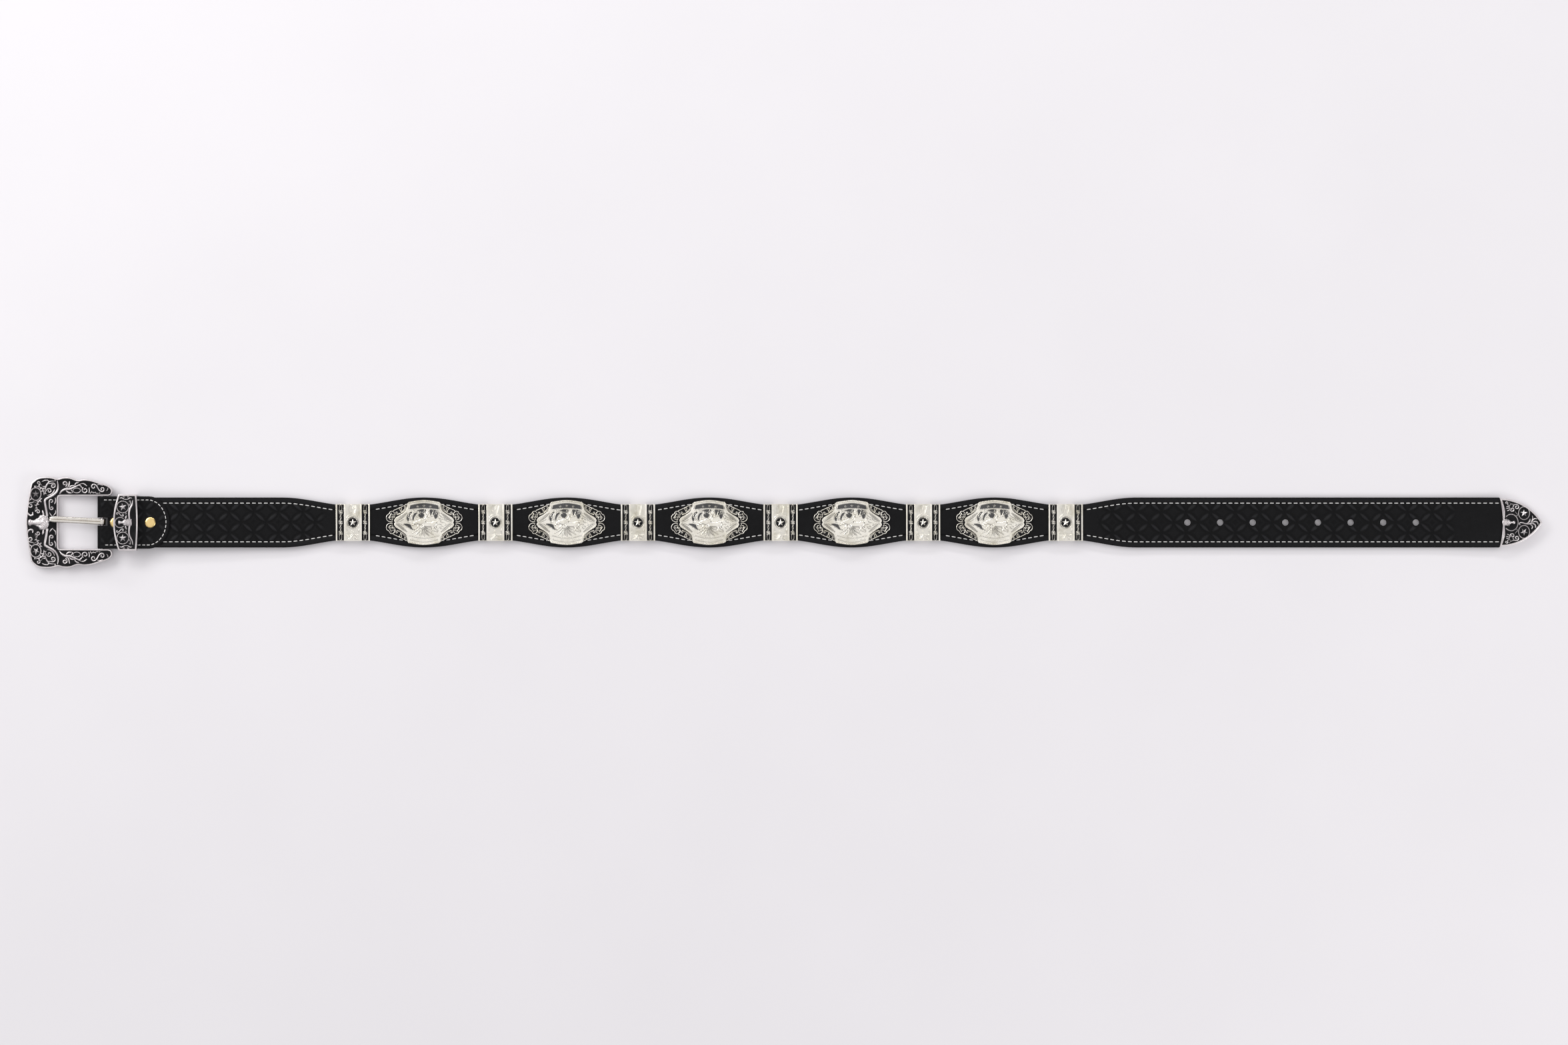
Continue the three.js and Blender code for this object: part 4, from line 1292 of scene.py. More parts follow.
    def inset(self, s: float, y: float) -> float:
        """Roughly how far a place of the top leaf is from the leather's edge.

        Args:
            s, y: The place.

        Returns:
            The distance.
        """
        if s <= self.round_start:
            return self.width / 2 - abs(y)
        a, b = CHAPE_END - self.round_start, self.width / 2
        reach = math.hypot((s - self.round_start) / a, y / b)
        slope = math.hypot((s - self.round_start) / a ** 2, y / b ** 2)
        return (1 - reach) * reach / max(slope, 1e-6)

    def seam(self) -> bmesh.types.BMesh:
        """Stitches along the sides and round the end.

        Returns:
            The stitches.
        """
        half = self.width / 2 - self.stitch_inset
        arc = ellipse(self.round_start, 0, CHAPE_END - self.round_start - self.stitch_inset, half,
                      90, -180, 48)
        path = [(BAR_STATION + 1, half), *arc, (BAR_STATION + 1, -half)]
        bm = bmesh.new()
        stitch = stitch_mesh(2.5, 0.34)
        for (s, y), heading in even_path(path, self.stitch_pitch):
            place = Matrix.Translation((s, y, BAR_HEIGHT + self.fold + self.leaf / 2 - 0.08))
            append(bm, stitch, place @ Matrix.Rotation(heading, 4, "Z"))
        bpy.data.meshes.remove(stitch)
        return bm

    def build(self, bench: Bench) -> None:
        """Makes the folded leather and its seam."""
        bench.piece("chape_leather", self.leather(), CHAPE_LEATHER, Body.BELT, ["chape"], crease=50)
        bench.piece("chape_stitches", self.seam(), WHITE_THREAD, Body.BELT)


@dataclass
class Buckle:
    """The cast frame: a rimmed tray filled with enamel, a steer's head and scrollwork."""

    thickness: float = 5.0
    tilt: float = -2.7
    rim: float = 0.9
    depth: float = 0.9
    bar_radius: float = 1.4
    window: tuple[Point, ...] = ((24.6, 18.7), (25.1, 19.8), (26.1, 20.2), (63, 20.3), (65.3, 21.4))
    outline: tuple[Point, ...] = (
        (66, 24.6), (64, 27.3), (60.8, 28.9), (55.4, 30.5), (50, 32.2), (44.6, 32.8), (40.8, 32.2),
        (38.2, 32.6),
        (33.8, 34.2), (28.4, 34.2), (24.6, 33.2), (21.4, 34), (17.6, 34.6), (12.2, 34.4), (8.9, 33.5),
        (6.2, 31.6), (4.3, 29.5), (3, 24), (1.1, 12), (0, 0))

    def place(self) -> Matrix:
        """The tilt about the bar.

        Returns:
            The placing.
        """
        return (Matrix.Translation((BAR_STATION, 0, BAR_HEIGHT))
                @ Matrix.Rotation(math.radians(self.tilt), 4, "Y")
                @ Matrix.Translation((-BAR_STATION, 0, 0)))

    def strokes(self) -> list[Stroke]:
        """The scrollwork of the upper half.

        Returns:
            The strokes.
        """
        return [
            *spray(((13.7, 20.8), (13.4, 24.2), (11.4, 26.6), (6.2, 28.0)), 2.2, 3, 0.95),
            curl(9.6, 30.0, 1.5, 280, 360, 0.8, ((13.2, 25.8), (12.2, 28.4))),
            *spray(((14.4, 23.0), (15.4, 27.8), (18.4, 31.2), (23.0, 31.4)), 2.1, 3, 0.95, (1,)),
            curl(20.7, 27.9, 2.1, 110, -400, 1.0, ((14.6, 24.0), (16.4, 28.6))),
            curl(17.8, 24.1, 1.9, 150, -380, 0.9, ((14.2, 20.8), (14.7, 22.4))),
            leaf((16.2, 20.6), (18.6, 21.0), (20.8, 22.6), (21.9, 24.9), w=1.0),
            leaf((12.2, 31.0), (14.2, 31.9), (16.6, 32.2), w=0.9),
            *spray(((12.6, 18.6), (10.4, 16.6), (8.6, 14.0), (7.6, 10.8)), 2.1, 3, 0.95),
            curl(3.7, 12.9, 2.1, 80, 370, 1.0, ((8.8, 14.6), (6.8, 15.6))),
            leaf((1.6, 9.6), (1.5, 7.2), (3.2, 5.4), (5.2, 5.9), (5.2, 7.5), w=1.5),
            curl(9.2, 8.2, 1.7, 170, -380, 0.95, ((7.8, 12.2), (7.2, 10.2))),
            leaf((6.0, 17.8), (4.2, 17.9), (3.0, 16.9), w=0.9),
            double_scroll((19.5, 16.1), (19.7, 11.1), 1.6, -1, 1, 1.0),
            leaf((22.3, 19.2), (22.9, 16.6), (22.0, 14.3), w=1.1),
            leaf((22.6, 9.6), (22.8, 7.2), (21.2, 5.4), w=1.0),
            leaf((18.0, 7.6), (19.0, 5.9), (20.6, 4.4), w=0.9),
            Stroke(((25.6, 21.7), (27.4, 23.9), (30.2, 25.4), (33.4, 25.4), (37.4, 27.0), (42.6, 29.6)),
                   (0.4, 1.6, 1.9, 1.7, 1.3, 0.5)),
            curl(29.7, 29.5, 2.0, 300, 380, 1.1, ((28.4, 24.4), (31.0, 26.2))),
            leaf((31.4, 25.8), (32.8, 28.2), (33.4, 30.9), w=1.3),
            leaf((32.6, 26.0), (34.6, 27.8), (36.6, 28.0), w=1.1),
            leaf((30.4, 25.0), (32.0, 23.0), (34.6, 22.5), w=1.3),
            leaf((33.6, 25.4), (35.2, 24.2), (35.8, 22.6), w=0.9),
            leaf((37.0, 27.0), (38.0, 29.6), (40.2, 30.4), w=1.1),
            leaf((39.4, 28.0), (41.2, 28.2), (42.6, 27.0), w=1.0),
            line(*ellipse(38.9, 24.3, 2.8, 1.8, 170, 360, 14), w=(0.5, 0.75, 0.5)),
            curl(45.2, 24.5, 2.4, 130, 380, 1.0, ((41.2, 28.4), (42.2, 26.8))),
            leaf((42.2, 29.6), (44.4, 29.4), (46.4, 27.9), w=1.0),
            leaf((47.8, 22.2), (48.5, 24.2), (48.3, 26.2), w=1.0),
            *spray(((48.4, 22.6), (50.8, 23.0), (53.6, 22.4), (57.0, 22.0)), 1.1, 3, 0.6),
            double_scroll((51.7, 27.2), (58.2, 25.3), 1.9, 1, -1, 1.05),
            leaf((54.4, 28.6), (56.4, 28.9), (58.6, 28.2), w=0.8),
            leaf((61.4, 24.0), (62.5, 24.9), (62.6, 26.2), w=0.7),
        ]

    def horns(self) -> list[Stroke]:
        """Both horns, from the poll to the rim.

        Returns:
            The strokes.
        """
        horn = line((16.4, 4.6), (15.4, 11), (14.6, 15.4), (14.9, 17.4), (17.4, 19), (20.6, 20.6), (23, 22.8),
                    (24.4, 25.6), (24.6, 28.8), (24.1, 31.6), w=(2.4, 2.3, 2.3, 2.2, 2.0, 1.6, 0.8))
        return [horn, horn.flipped()]

    def head(self, floor: float) -> bmesh.types.BMesh:
        """The steer's head, muzzle to the left.

        Args:
            floor: The enamel's top.

        Returns:
            The head.
        """
        f = floor
        return modelled([
            ((9.6, 0, f), (7.4, 2.5, 1.9), 0), ((3.2, 0, f + 0.1), (1.8, 2.9, 1.7), 0),
            ((4.8, 0, f), (2.2, 2.2, 1.7), 0),
            ((14.2, 0, f), (4.0, 5.6, 2.0), 0), ((12.2, 3.6, f), (2.6, 2.2, 1.5), -35),
            ((12.2, -3.6, f), (2.6, 2.2, 1.5), 35), ((16.6, 0, f + 0.2), (1.5, 4.0, 1.9), 0),
            ((13.2, 7.4, f), (0.9, 2.2, 0.9), 16), ((13.2, -7.4, f), (0.9, 2.2, 0.9), -16),
            ((9.4, 2.6, f), (3.4, 1.0, 1.3), 22), ((9.4, -2.6, f), (3.4, 1.0, 1.3), -22)], 0.28)

    def build(self, bench: Bench) -> None:
        """Makes the frame, its enamel and its relief.

        Args:
            bench: Where pieces are finished.
        """
        half = self.thickness / 2
        outline = mirrored([*self.window[:3], *smooth_path([*self.window[3:], *self.outline], per=3)])
        body, floor_line = tray(outline, -half, half, self.rim, self.depth, 0.3)
        floor = half - self.depth
        bmesh.ops.create_cone(body, cap_ends=True, segments=20, radius1=self.bar_radius,
                              radius2=self.bar_radius,
                              depth=43.6, matrix=Matrix.Translation((BAR_STATION, 0, 0))
                              @ Matrix.Rotation(math.pi / 2, 4, "X"))
        place = self.place()
        bench.piece("buckle_cast_frame", body, NICKEL, Body.BUCKLE, ["buckle_frame"], place)
        bench.piece("buckle_enamel", slab(floor_line, floor - 0.1, floor + 0.04), BLACK, Body.BUCKLE, (),
                    place)
        work = bmesh.new()
        upper = self.strokes()
        relief(work, [*upper, *(stroke.flipped() for stroke in upper)], floor, 0.95, 1.15)
        relief(work, self.horns(), floor, 1.0)
        for side in (1, -1):
            rope(work, ellipse(7.6, side * 21.6, 4.0, 4.8), 0.62, (0.6, 0.3, 0.45), floor)
            star(work, 7.6, side * 21.6, 3.0, floor, 0.9, 90 * side)
        absorb(work, self.head(floor))
        relief(work, hair(14.0, 0, 3.4, 5.3, 46, 3, 0.62), floor + 1.3, 1.5)
        relief(work, hair(14.6, 0, 1.9, 3.4, 20, 8, 0.6), floor + 1.9, 1.3)
        # The relief's foot is coloured dark: blackened patina together with painted shade.
        bench.piece("buckle_relief", work, NICKEL, Body.BUCKLE, (), place, crease=70,
                    fade=(floor, floor + 0.4))


@dataclass
class Prong:
    """The folded metal tongue with its loop round the bar."""

    tilt: float = 1.1
    yaw: float = -3.0
    side: float = 0.6
    width: float = 4.8
    loop_inner: float = 1.7
    loop_outer: float = 2.75
    sections: tuple[tuple[float, float, float, float], ...] = (
        (0, 2.4, 0.8, 2.75), (1.5, 2.4, 0.75, 2.75), (4, 2.4, 0.75, 2.75), (20, 2.4, 0.75, 2.75),
        (36, 2.4, 0.75, 2.7), (37.6, 2.3, 0.75, 2.62), (38.6, 2.1, 0.8, 2.5), (39.4, 1.75, 0.85, 2.35),
        (39.9, 1.35, 0.95, 2.2), (40.3, 0.8, 1.1, 1.9))

    def place(self) -> Matrix:
        """The turns about the bar.

        Returns:
            The placing.
        """
        return (Matrix.Translation((BAR_STATION, self.side, BAR_HEIGHT))
                @ Matrix.Rotation(math.radians(self.yaw), 4, "Z")
                @ Matrix.Rotation(math.radians(self.tilt), 4, "Y"))

    def build(self, bench: Bench) -> None:
        """Makes the shank with its folded seam and the loop.

        Args:
            bench: Where pieces are finished.
        """
        bm = bmesh.new()
        rings = []
        for reach, half, low, high in self.sections:
            shoulder = (high - low) * 0.45
            shape = [(half * 0.8, low), (half, low + 0.3), (half, high - shoulder),
                     (half * 0.88, high - 0.22),
                     (half * 0.6, high), (0.32, high - 0.06), (0.16, high - 0.3), (0, high - 0.6),
                     (-0.16, high - 0.3), (-0.32, high - 0.06), (-half * 0.6, high),
                     (-half * 0.88, high - 0.22),
                     (-half, high - shoulder), (-half, low + 0.3), (-half * 0.8, low)]
            verts = [bm.verts.new((-reach, y, z)) for y, z in shape]
            rings.append([bm.edges.new((a, b)) for a, b in zip(verts, [*verts[1:], verts[0]])])
        for one, two in zip(rings, rings[1:]):
            bmesh.ops.bridge_loops(bm, edges=[*one, *two])
        bmesh.ops.holes_fill(bm, edges=[edge for edge in bm.edges if edge.is_boundary])
        loop = bmesh.new()
        outer, inner, half = self.loop_outer, self.loop_inner, self.width / 2
        profile = [loop.verts.new((0, y, r)) for y, r in (
            (half, inner), (half, outer - 0.3), (half - 0.3, outer), (-half + 0.3, outer),
            (-half, outer - 0.3), (-half, inner))]
        ring = [loop.edges.new((a, b)) for a, b in zip(profile, [*profile[1:], profile[0]])]
        bmesh.ops.spin(loop, geom=[*profile, *ring], cent=(0, 0, 0), axis=(0, 1, 0), angle=math.tau, steps=36,
                       use_merge=True)
        bmesh.ops.remove_doubles(loop, verts=loop.verts, dist=1e-4)
        absorb(bm, loop)
        bmesh.ops.recalc_face_normals(bm, faces=bm.faces)
        bench.piece("prong_tongue", bm, PRONG_METAL, Body.PRONG, ["prong"], self.place(), crease=50)


@dataclass
class Keeper:
    """The cast loop round the strap with a steer's head on its plate."""

    length: float = 42.7
    wall: float = 1.2
    back: float = 0.8
    low: float = 13.2
    floor: float = 14.6
    rim_top: float = 15.2
    left: float = 67.1
    right: float = 85.8
    leg_start: float = 71.4
    leg_length: float = 13.1
    left_bulge: float = 4.0
    right_bulge: float = 1.0
    disc: Point = (74.4, 11.8)

    def outline(self) -> list[Point]:
        """The plate's outline.

        Returns:
            The outline.
        """
        half = self.length / 2
        rows = np.linspace(-half, half, 15)
        left = [(self.left + self.left_bulge * (y / half) ** 2, float(y)) for y in rows]
        right = [(self.right - self.right_bulge * (y / half) ** 2, float(y)) for y in rows]
        return [*right, *reversed(left)]

    def strokes(self) -> list[Stroke]:
        """The scrollwork of the upper half.

        Returns:
            The strokes.
        """
        return [
            double_scroll((70.3, 6.7), (74.3, 5.6), 0.85, 1, -1, 0.6),
            line((76.4, 2.4), (76.7, 3.8), (77.3, 5.3), w=(0.4, 1.4, 1.3, 0.4)),
            double_scroll((79.2, 13.6), (79.8, 15.9), 0.7, -1, 1, 0.5),
            curl(76.7, 6.9, 0.65, 200, 330, 0.45),
            line((72.0, 18.3), (73.6, 18.7), (75.2, 17.8), (76.9, 17.5), (78.6, 17.8), (80.2, 18.7),
                 (81.6, 18.3), w=(0.3, 0.8, 0.6, 0.5, 0.6, 0.8, 0.3)),
            curl(75.4, 19.3, 0.9, 270, -320, 0.5), curl(78.4, 19.3, 0.9, 270, 320, 0.5),
        ]

    def horns(self) -> list[Stroke]:
        """Both horns that frame the head.

        Returns:
            The strokes.
        """
        horn = line((79.6, 2.2), (79.2, 5.4), (79.3, 8.6), (80.2, 11.4), (81.5, 13.8), (82.0, 16.9),
                    w=(1.8, 1.8, 1.8, 1.6, 1.3, 0.5))
        return [horn, horn.flipped()]

    def build(self, bench: Bench) -> None:
        """Makes the loop, its enamel and its relief.

        Args:
            bench: Where pieces are finished.
        """
        half = self.length / 2
        plate, floor_line = tray(smooth_path(self.outline(), True, 1), self.low, self.rim_top, self.wall,
                                 self.rim_top - self.floor, 0.35)
        hoop = bmesh.new()
        corner = [(self.low, 0), (1.2, 0), (0.35, 0.35), (0, 1.2)]
        outer = [(half - inward, z) for z, inward in corner]
        inner = [(half - self.wall, self.low), (half - self.wall, self.back + 0.4),
                 (half - self.wall - 0.5, self.back)]
        ring = [*outer, *((-y, z) for y, z in reversed(outer)), *((-y, z) for y, z in inner),
                *reversed(inner)]
        face = hoop.faces.new([hoop.verts.new((self.leg_start, y, z)) for y, z in ring])
        grown = bmesh.ops.extrude_face_region(hoop, geom=[face, *face.edges, *face.verts],
                                              use_keep_orig=True)["geom"]
        bmesh.ops.translate(hoop, vec=(self.leg_length, 0, 0),
                            verts=[v for v in grown if isinstance(v, bmesh.types.BMVert)])
        bmesh.ops.recalc_face_normals(hoop, faces=hoop.faces)
        soften(hoop, [e for e in hoop.edges if abs(e.verts[0].co.x - e.verts[1].co.x) < 1e-4], 0.2, 1)
        absorb(plate, hoop)
        bench.piece("keeper_loop", plate, NICKEL, Body.KEEPER, ["keeper"])
        bench.piece("keeper_enamel", slab(floor_line, self.floor - 0.1, self.floor + 0.03), BLACK,
                    Body.KEEPER)
        work = bmesh.new()
        upper = self.strokes()
        relief(work, [*upper, *(stroke.flipped() for stroke in upper)], self.floor, 0.9, 1.15)
        relief(work, self.horns(), self.floor, 0.8)
        x, y = self.disc
        for side in (1, -1):
            rope(work, ellipse(x, side * y, 4.5, 4.5), 0.55, (0.5, 0.26, 0.4), self.floor)
            star(work, x, side * y, 3.1, self.floor, 0.7, 100 if side > 0 else 20)
        rope(work, ellipse(72.4, 0, 3.9, 3.9, 48, 264), 0.55, (0.5, 0.26, 0.4), self.floor)
        f = self.floor
        absorb(work, modelled([
            ((76.4, 0, f - 0.4), (4.6, 1.3, 1.3), 0), ((71.6, 0, f - 0.3), (0.9, 1.75, 1.2), 0),
            ((72.6, 0, f - 0.3), (1.2, 1.3, 1.2), 0),
            ((78.6, 0, f - 0.3), (2.5, 2.8, 1.4), 0), ((80.6, 0, f - 0.2), (0.9, 2.9, 1.1), 0),
            ((75.8, 1.4, f - 0.4), (1.5, 1.1, 1.1), 20),
            ((75.8, -1.4, f - 0.4), (1.5, 1.1, 1.1), -20)], 0.22))
        relief(work, hair(78.4, 0, 2.6, 2.6, 34, 5, 0.36), f + 0.75, 1.2)
        relief(work, hair(78.4, 0, 1.7, 1.7, 16, 6, 0.38), f + 1.02, 1.1)
        # The relief's foot is coloured dark: blackened patina together with painted shade.
        bench.piece("keeper_relief", work, NICKEL, Body.KEEPER, crease=70, fade=(f, f + 0.3))


@dataclass
class Snap:
    """A domed brass snap cap with its post, and the socket behind the leather."""

    station: float
    number: int
    diameter: float = 8.4

    def turned(self, profile: Path) -> bmesh.types.BMesh:
        """A closed form spun from (radius, height) points.

        Args:
            profile: The points.

        Returns:
            The form.
        """
        bm = bmesh.new()
        verts = [bm.verts.new((r, 0, z)) for r, z in profile]
        edges = [bm.edges.new(pair) for pair in zip(verts, verts[1:])]
        bmesh.ops.spin(bm, geom=[*verts, *edges], cent=(0, 0, 0), axis=(0, 0, 1), angle=math.tau, steps=40,
                       use_merge=True)
        bmesh.ops.remove_doubles(bm, verts=bm.verts, dist=1e-4)
        bmesh.ops.recalc_face_normals(bm, faces=bm.faces)
        return bm

    def build(self, bench: Bench) -> None:
        """Makes the cap and the back.

        Args:
            bench: Where pieces are finished.
        """
        r = self.diameter / 2
        place = Matrix.Translation((self.station, 0, 0))
        cap = self.turned([(0, 3.0), (1.45, 3.0), (1.45, 8.85), (r - 0.3, 8.85), (r, 9.05), (r, 9.3),
                           (r - 0.25, 9.6),
                           (r - 0.8, 9.85), (r - 1.6, 10.05), (r - 2.7, 10.18), (1.2, 10.22), (0, 10.22)])
        bench.piece(f"snap_cap_{self.number}_brass", cap, BRASS, Body.BELT, [f"snap_cap_{self.number}"],
                    place, 40)
        back = self.turned([(0, 1.6), (r, 1.6), (r, 1.3), (r - 0.35, 1.0), (r - 1, 0.95), (2.4, 0.95),
                            (2.1, 1.2), (1.2, 1.3), (0, 1.3)])
        bench.piece(f"snap_back_{self.number}_brass", back, BRASS, Body.BELT, [f"snap_back_{self.number}"],
                    place, 40)


@dataclass
class Slider:
    """A metal band over a waist of the strap: two wire strips, an engraved panel and a star."""

    length: float = 26.0
    width: float = 28.0
    leg: float = 12.0
    wall: float = 0.8
    low: float = 4.4
    high: float = 5.4
    edge: float = 1.2
    strip: float = 5.0
    divider: float = 1.3
    disc_radius: float = 4.65

    def band(self) -> bmesh.types.BMesh:
        """The plate with its ribs and panel, the legs and the back strip.

        Returns:
            The band.
        """
        half_s, half_y = self.length / 2, self.width / 2
        bm = slab([(half_s, half_y), (-half_s, half_y), (-half_s, -half_y), (half_s, -half_y)], self.low,
                  self.high)
        soften(bm, [e for e in bm.edges if e.calc_face_angle(0) > 1], 0.25)
        rib = self.high + 0.45
        for x in (half_s - self.edge / 2, half_s - self.edge - self.strip - self.divider / 2):
            wide = self.edge if x > 10 else self.divider
            for side in (1, -1):
                part = slab([(side * x + wide / 2, half_y), (side * x - wide / 2, half_y),
                             (side * x - wide / 2, -half_y), (side * x + wide / 2, -half_y)], self.high - 0.3,
                            rib)
                soften(part, part.edges[:], 0.18)
                absorb(bm, part)
        inner = half_s - self.edge - self.strip - self.divider
        part = slab([(inner, half_y), (-inner, half_y), (-inner, -half_y), (inner, -half_y)],
                    self.high - 0.3, self.high + 0.25)
        absorb(bm, part)
        hoop = bmesh.new()
        w, y = self.wall, half_y
        ring = [(y, self.low), (y, 0.7), (y - 0.2, 0.2), (y - 0.7, 0), (0.7 - y, 0), (0.2 - y, 0.2),
                (-y, 0.7), (-y, self.low), (w - y, self.low), (w - y, w), (y - w, w), (y - w, self.low)]
        face = hoop.faces.new([hoop.verts.new((-self.leg / 2, a, b)) for a, b in ring])
        grown = bmesh.ops.extrude_face_region(hoop, geom=[face, *face.edges, *face.verts],
                                              use_keep_orig=True)["geom"]
        bmesh.ops.translate(hoop, vec=(self.leg, 0, 0),
                            verts=[v for v in grown if isinstance(v, bmesh.types.BMVert)])
        bmesh.ops.recalc_face_normals(hoop, faces=hoop.faces)
        absorb(bm, hoop)
        return bm

    def ornament(self, bm: bmesh.types.BMesh) -> None:
        """The twisted wires, knots, ticks, star and engraving.

        Args:
            bm: Takes it.
        """
        x0 = self.length / 2 - self.edge - self.strip / 2
        f = self.high
        for side in (1, -1):
            x = side * x0
            steps = [i / 40 for i in range(41)]
            for phase in (0, math.pi):
                relief(bm, [Stroke(tuple((x + 0.5 * math.sin(phase + t * 19), -8 + 16 * t) for t in steps),
                                   (0.5, 0.5))], f + 0.05, 1.0)
            for end in (1, -1):
                relief(bm, [Stroke(tuple(ellipse(x, end * 10.9, 0.95, 2.6, steps=16)), (0.5, 0.5))], f, 0.9)
            for y in (8, 0, -8):
                for step, lean in ((-0.85, 0.15), (0, 0.5), (0.85, 0.3)):
                    relief(bm, [line((x - 1.5, y + step + lean), (x, y + step), (x + 1.5, y + step - lean),
                                     w=(0.4, 0.8, 0.4))], f + 0.15, 1.2)
        top = f + 0.3
        work = [*plume(((0, 5.2), (-0.3, 9.4), (0.2, 13.4)), 4.4, 9, 0.8, sweep=64),
                *plume(((-4.9, 3.6), (-3.6, 5.2), (-1.8, 6.0)), 1.4, 4),
                *plume(((4.9, 3.6), (3.6, 5.2), (1.8, 6.0)), 1.4, 4),
                curl(0.1, -6.6, 1.0, 200, -340, 0.5, ((-1.4, -9.0), (-1.3, -7.4))),
                *plume(((-0.2, -8.6), (-2.4, -9.8), (-4.8, -9.2)), 1.9, 6, 0.7),
                *plume(((0.2, -8.6), (2.4, -9.8), (4.8, -9.2)), 1.9, 6, 0.7),
                *plume(((0, -9.2), (-1.6, -11.6), (-4.4, -12.9)), 1.7, 6, 0.7),
                *plume(((0, -9.2), (1.6, -11.6), (4.4, -12.9)), 1.7, 6, 0.7),
                line((0, -9.4), (0.2, -11.4), (0, -13.3), w=(0.7, 0.9, 0.4)),
                line((-4.9, -4.4), (-4.3, -6.2), (-4.9, -7.8), w=(0.3, 0.8, 0.3)),
                line((4.9, -4.4), (4.3, -6.2), (4.9, -7.8), w=(0.3, 0.8, 0.3))]
        y = self.width / 2 - 0.3
        absorb(bm, slab([(5.3, y), (-5.3, y), (-5.3, -y), (5.3, -y)], self.high, top))
        relief(bm, work, top, 0.75)
        for i in range(50):
            a = math.tau * i / 50
            inner = 3.2 if i % 10 == 5 else 3.6
            relief(bm, [line((inner * math.cos(a), inner * math.sin(a)),
                             (4.4 * math.cos(a), 4.4 * math.sin(a)), w=(0.28, 0.28))], f + 0.72, 0.8)
        relief(bm, [Stroke(tuple(ellipse(0, 0, self.disc_radius, self.disc_radius, steps=24)), (0.5, 0.5))],
               f + 0.6, 1)
        star(bm, 0, 0, 2.9, f + 0.72, 0.55, 90, 0.36)

    def build(self, bench: Bench) -> None:
        """Makes one slider and sets it on every waist.

        Args:
            bench: Where pieces are finished.
        """
        band, work = self.band(), bmesh.new()
        self.ornament(work)
        dark = bmesh.new()
        x0 = self.length / 2 - self.edge - self.strip / 2
        for side in (1, -1):
            x, w, y = side * x0, self.strip / 2 + 0.05, self.width / 2 - 0.35
            absorb(dark, slab([(x + w, y), (x - w, y), (x - w, -y), (x + w, -y)], self.high - 0.2,
                              self.high + 0.03))
        absorb(dark, slab(ellipse(0, 0, self.disc_radius, self.disc_radius, steps=40)[:-1], self.high,
                          self.high + 0.72))
        for number, station in enumerate(slider_stations(), 1):
            place = Matrix.Translation((station, 0, 0))
            bench.piece(f"slider_{number}_band", band, SILVER, Body.BELT, [f"slider_{number}"], place,
                        keep=True)
            # The relief's foot is coloured dark: blackened patina together with painted shade.
            bench.piece(f"slider_{number}_relief", work, SILVER, Body.BELT, (), place, 70, True,
                        fade=(self.high - 0.05, self.high + 0.42))
            bench.piece(f"slider_{number}_enamel", dark, BLACK, Body.BELT, (), place, keep=True)
        for bm in (band, work, dark):
            bm.free()


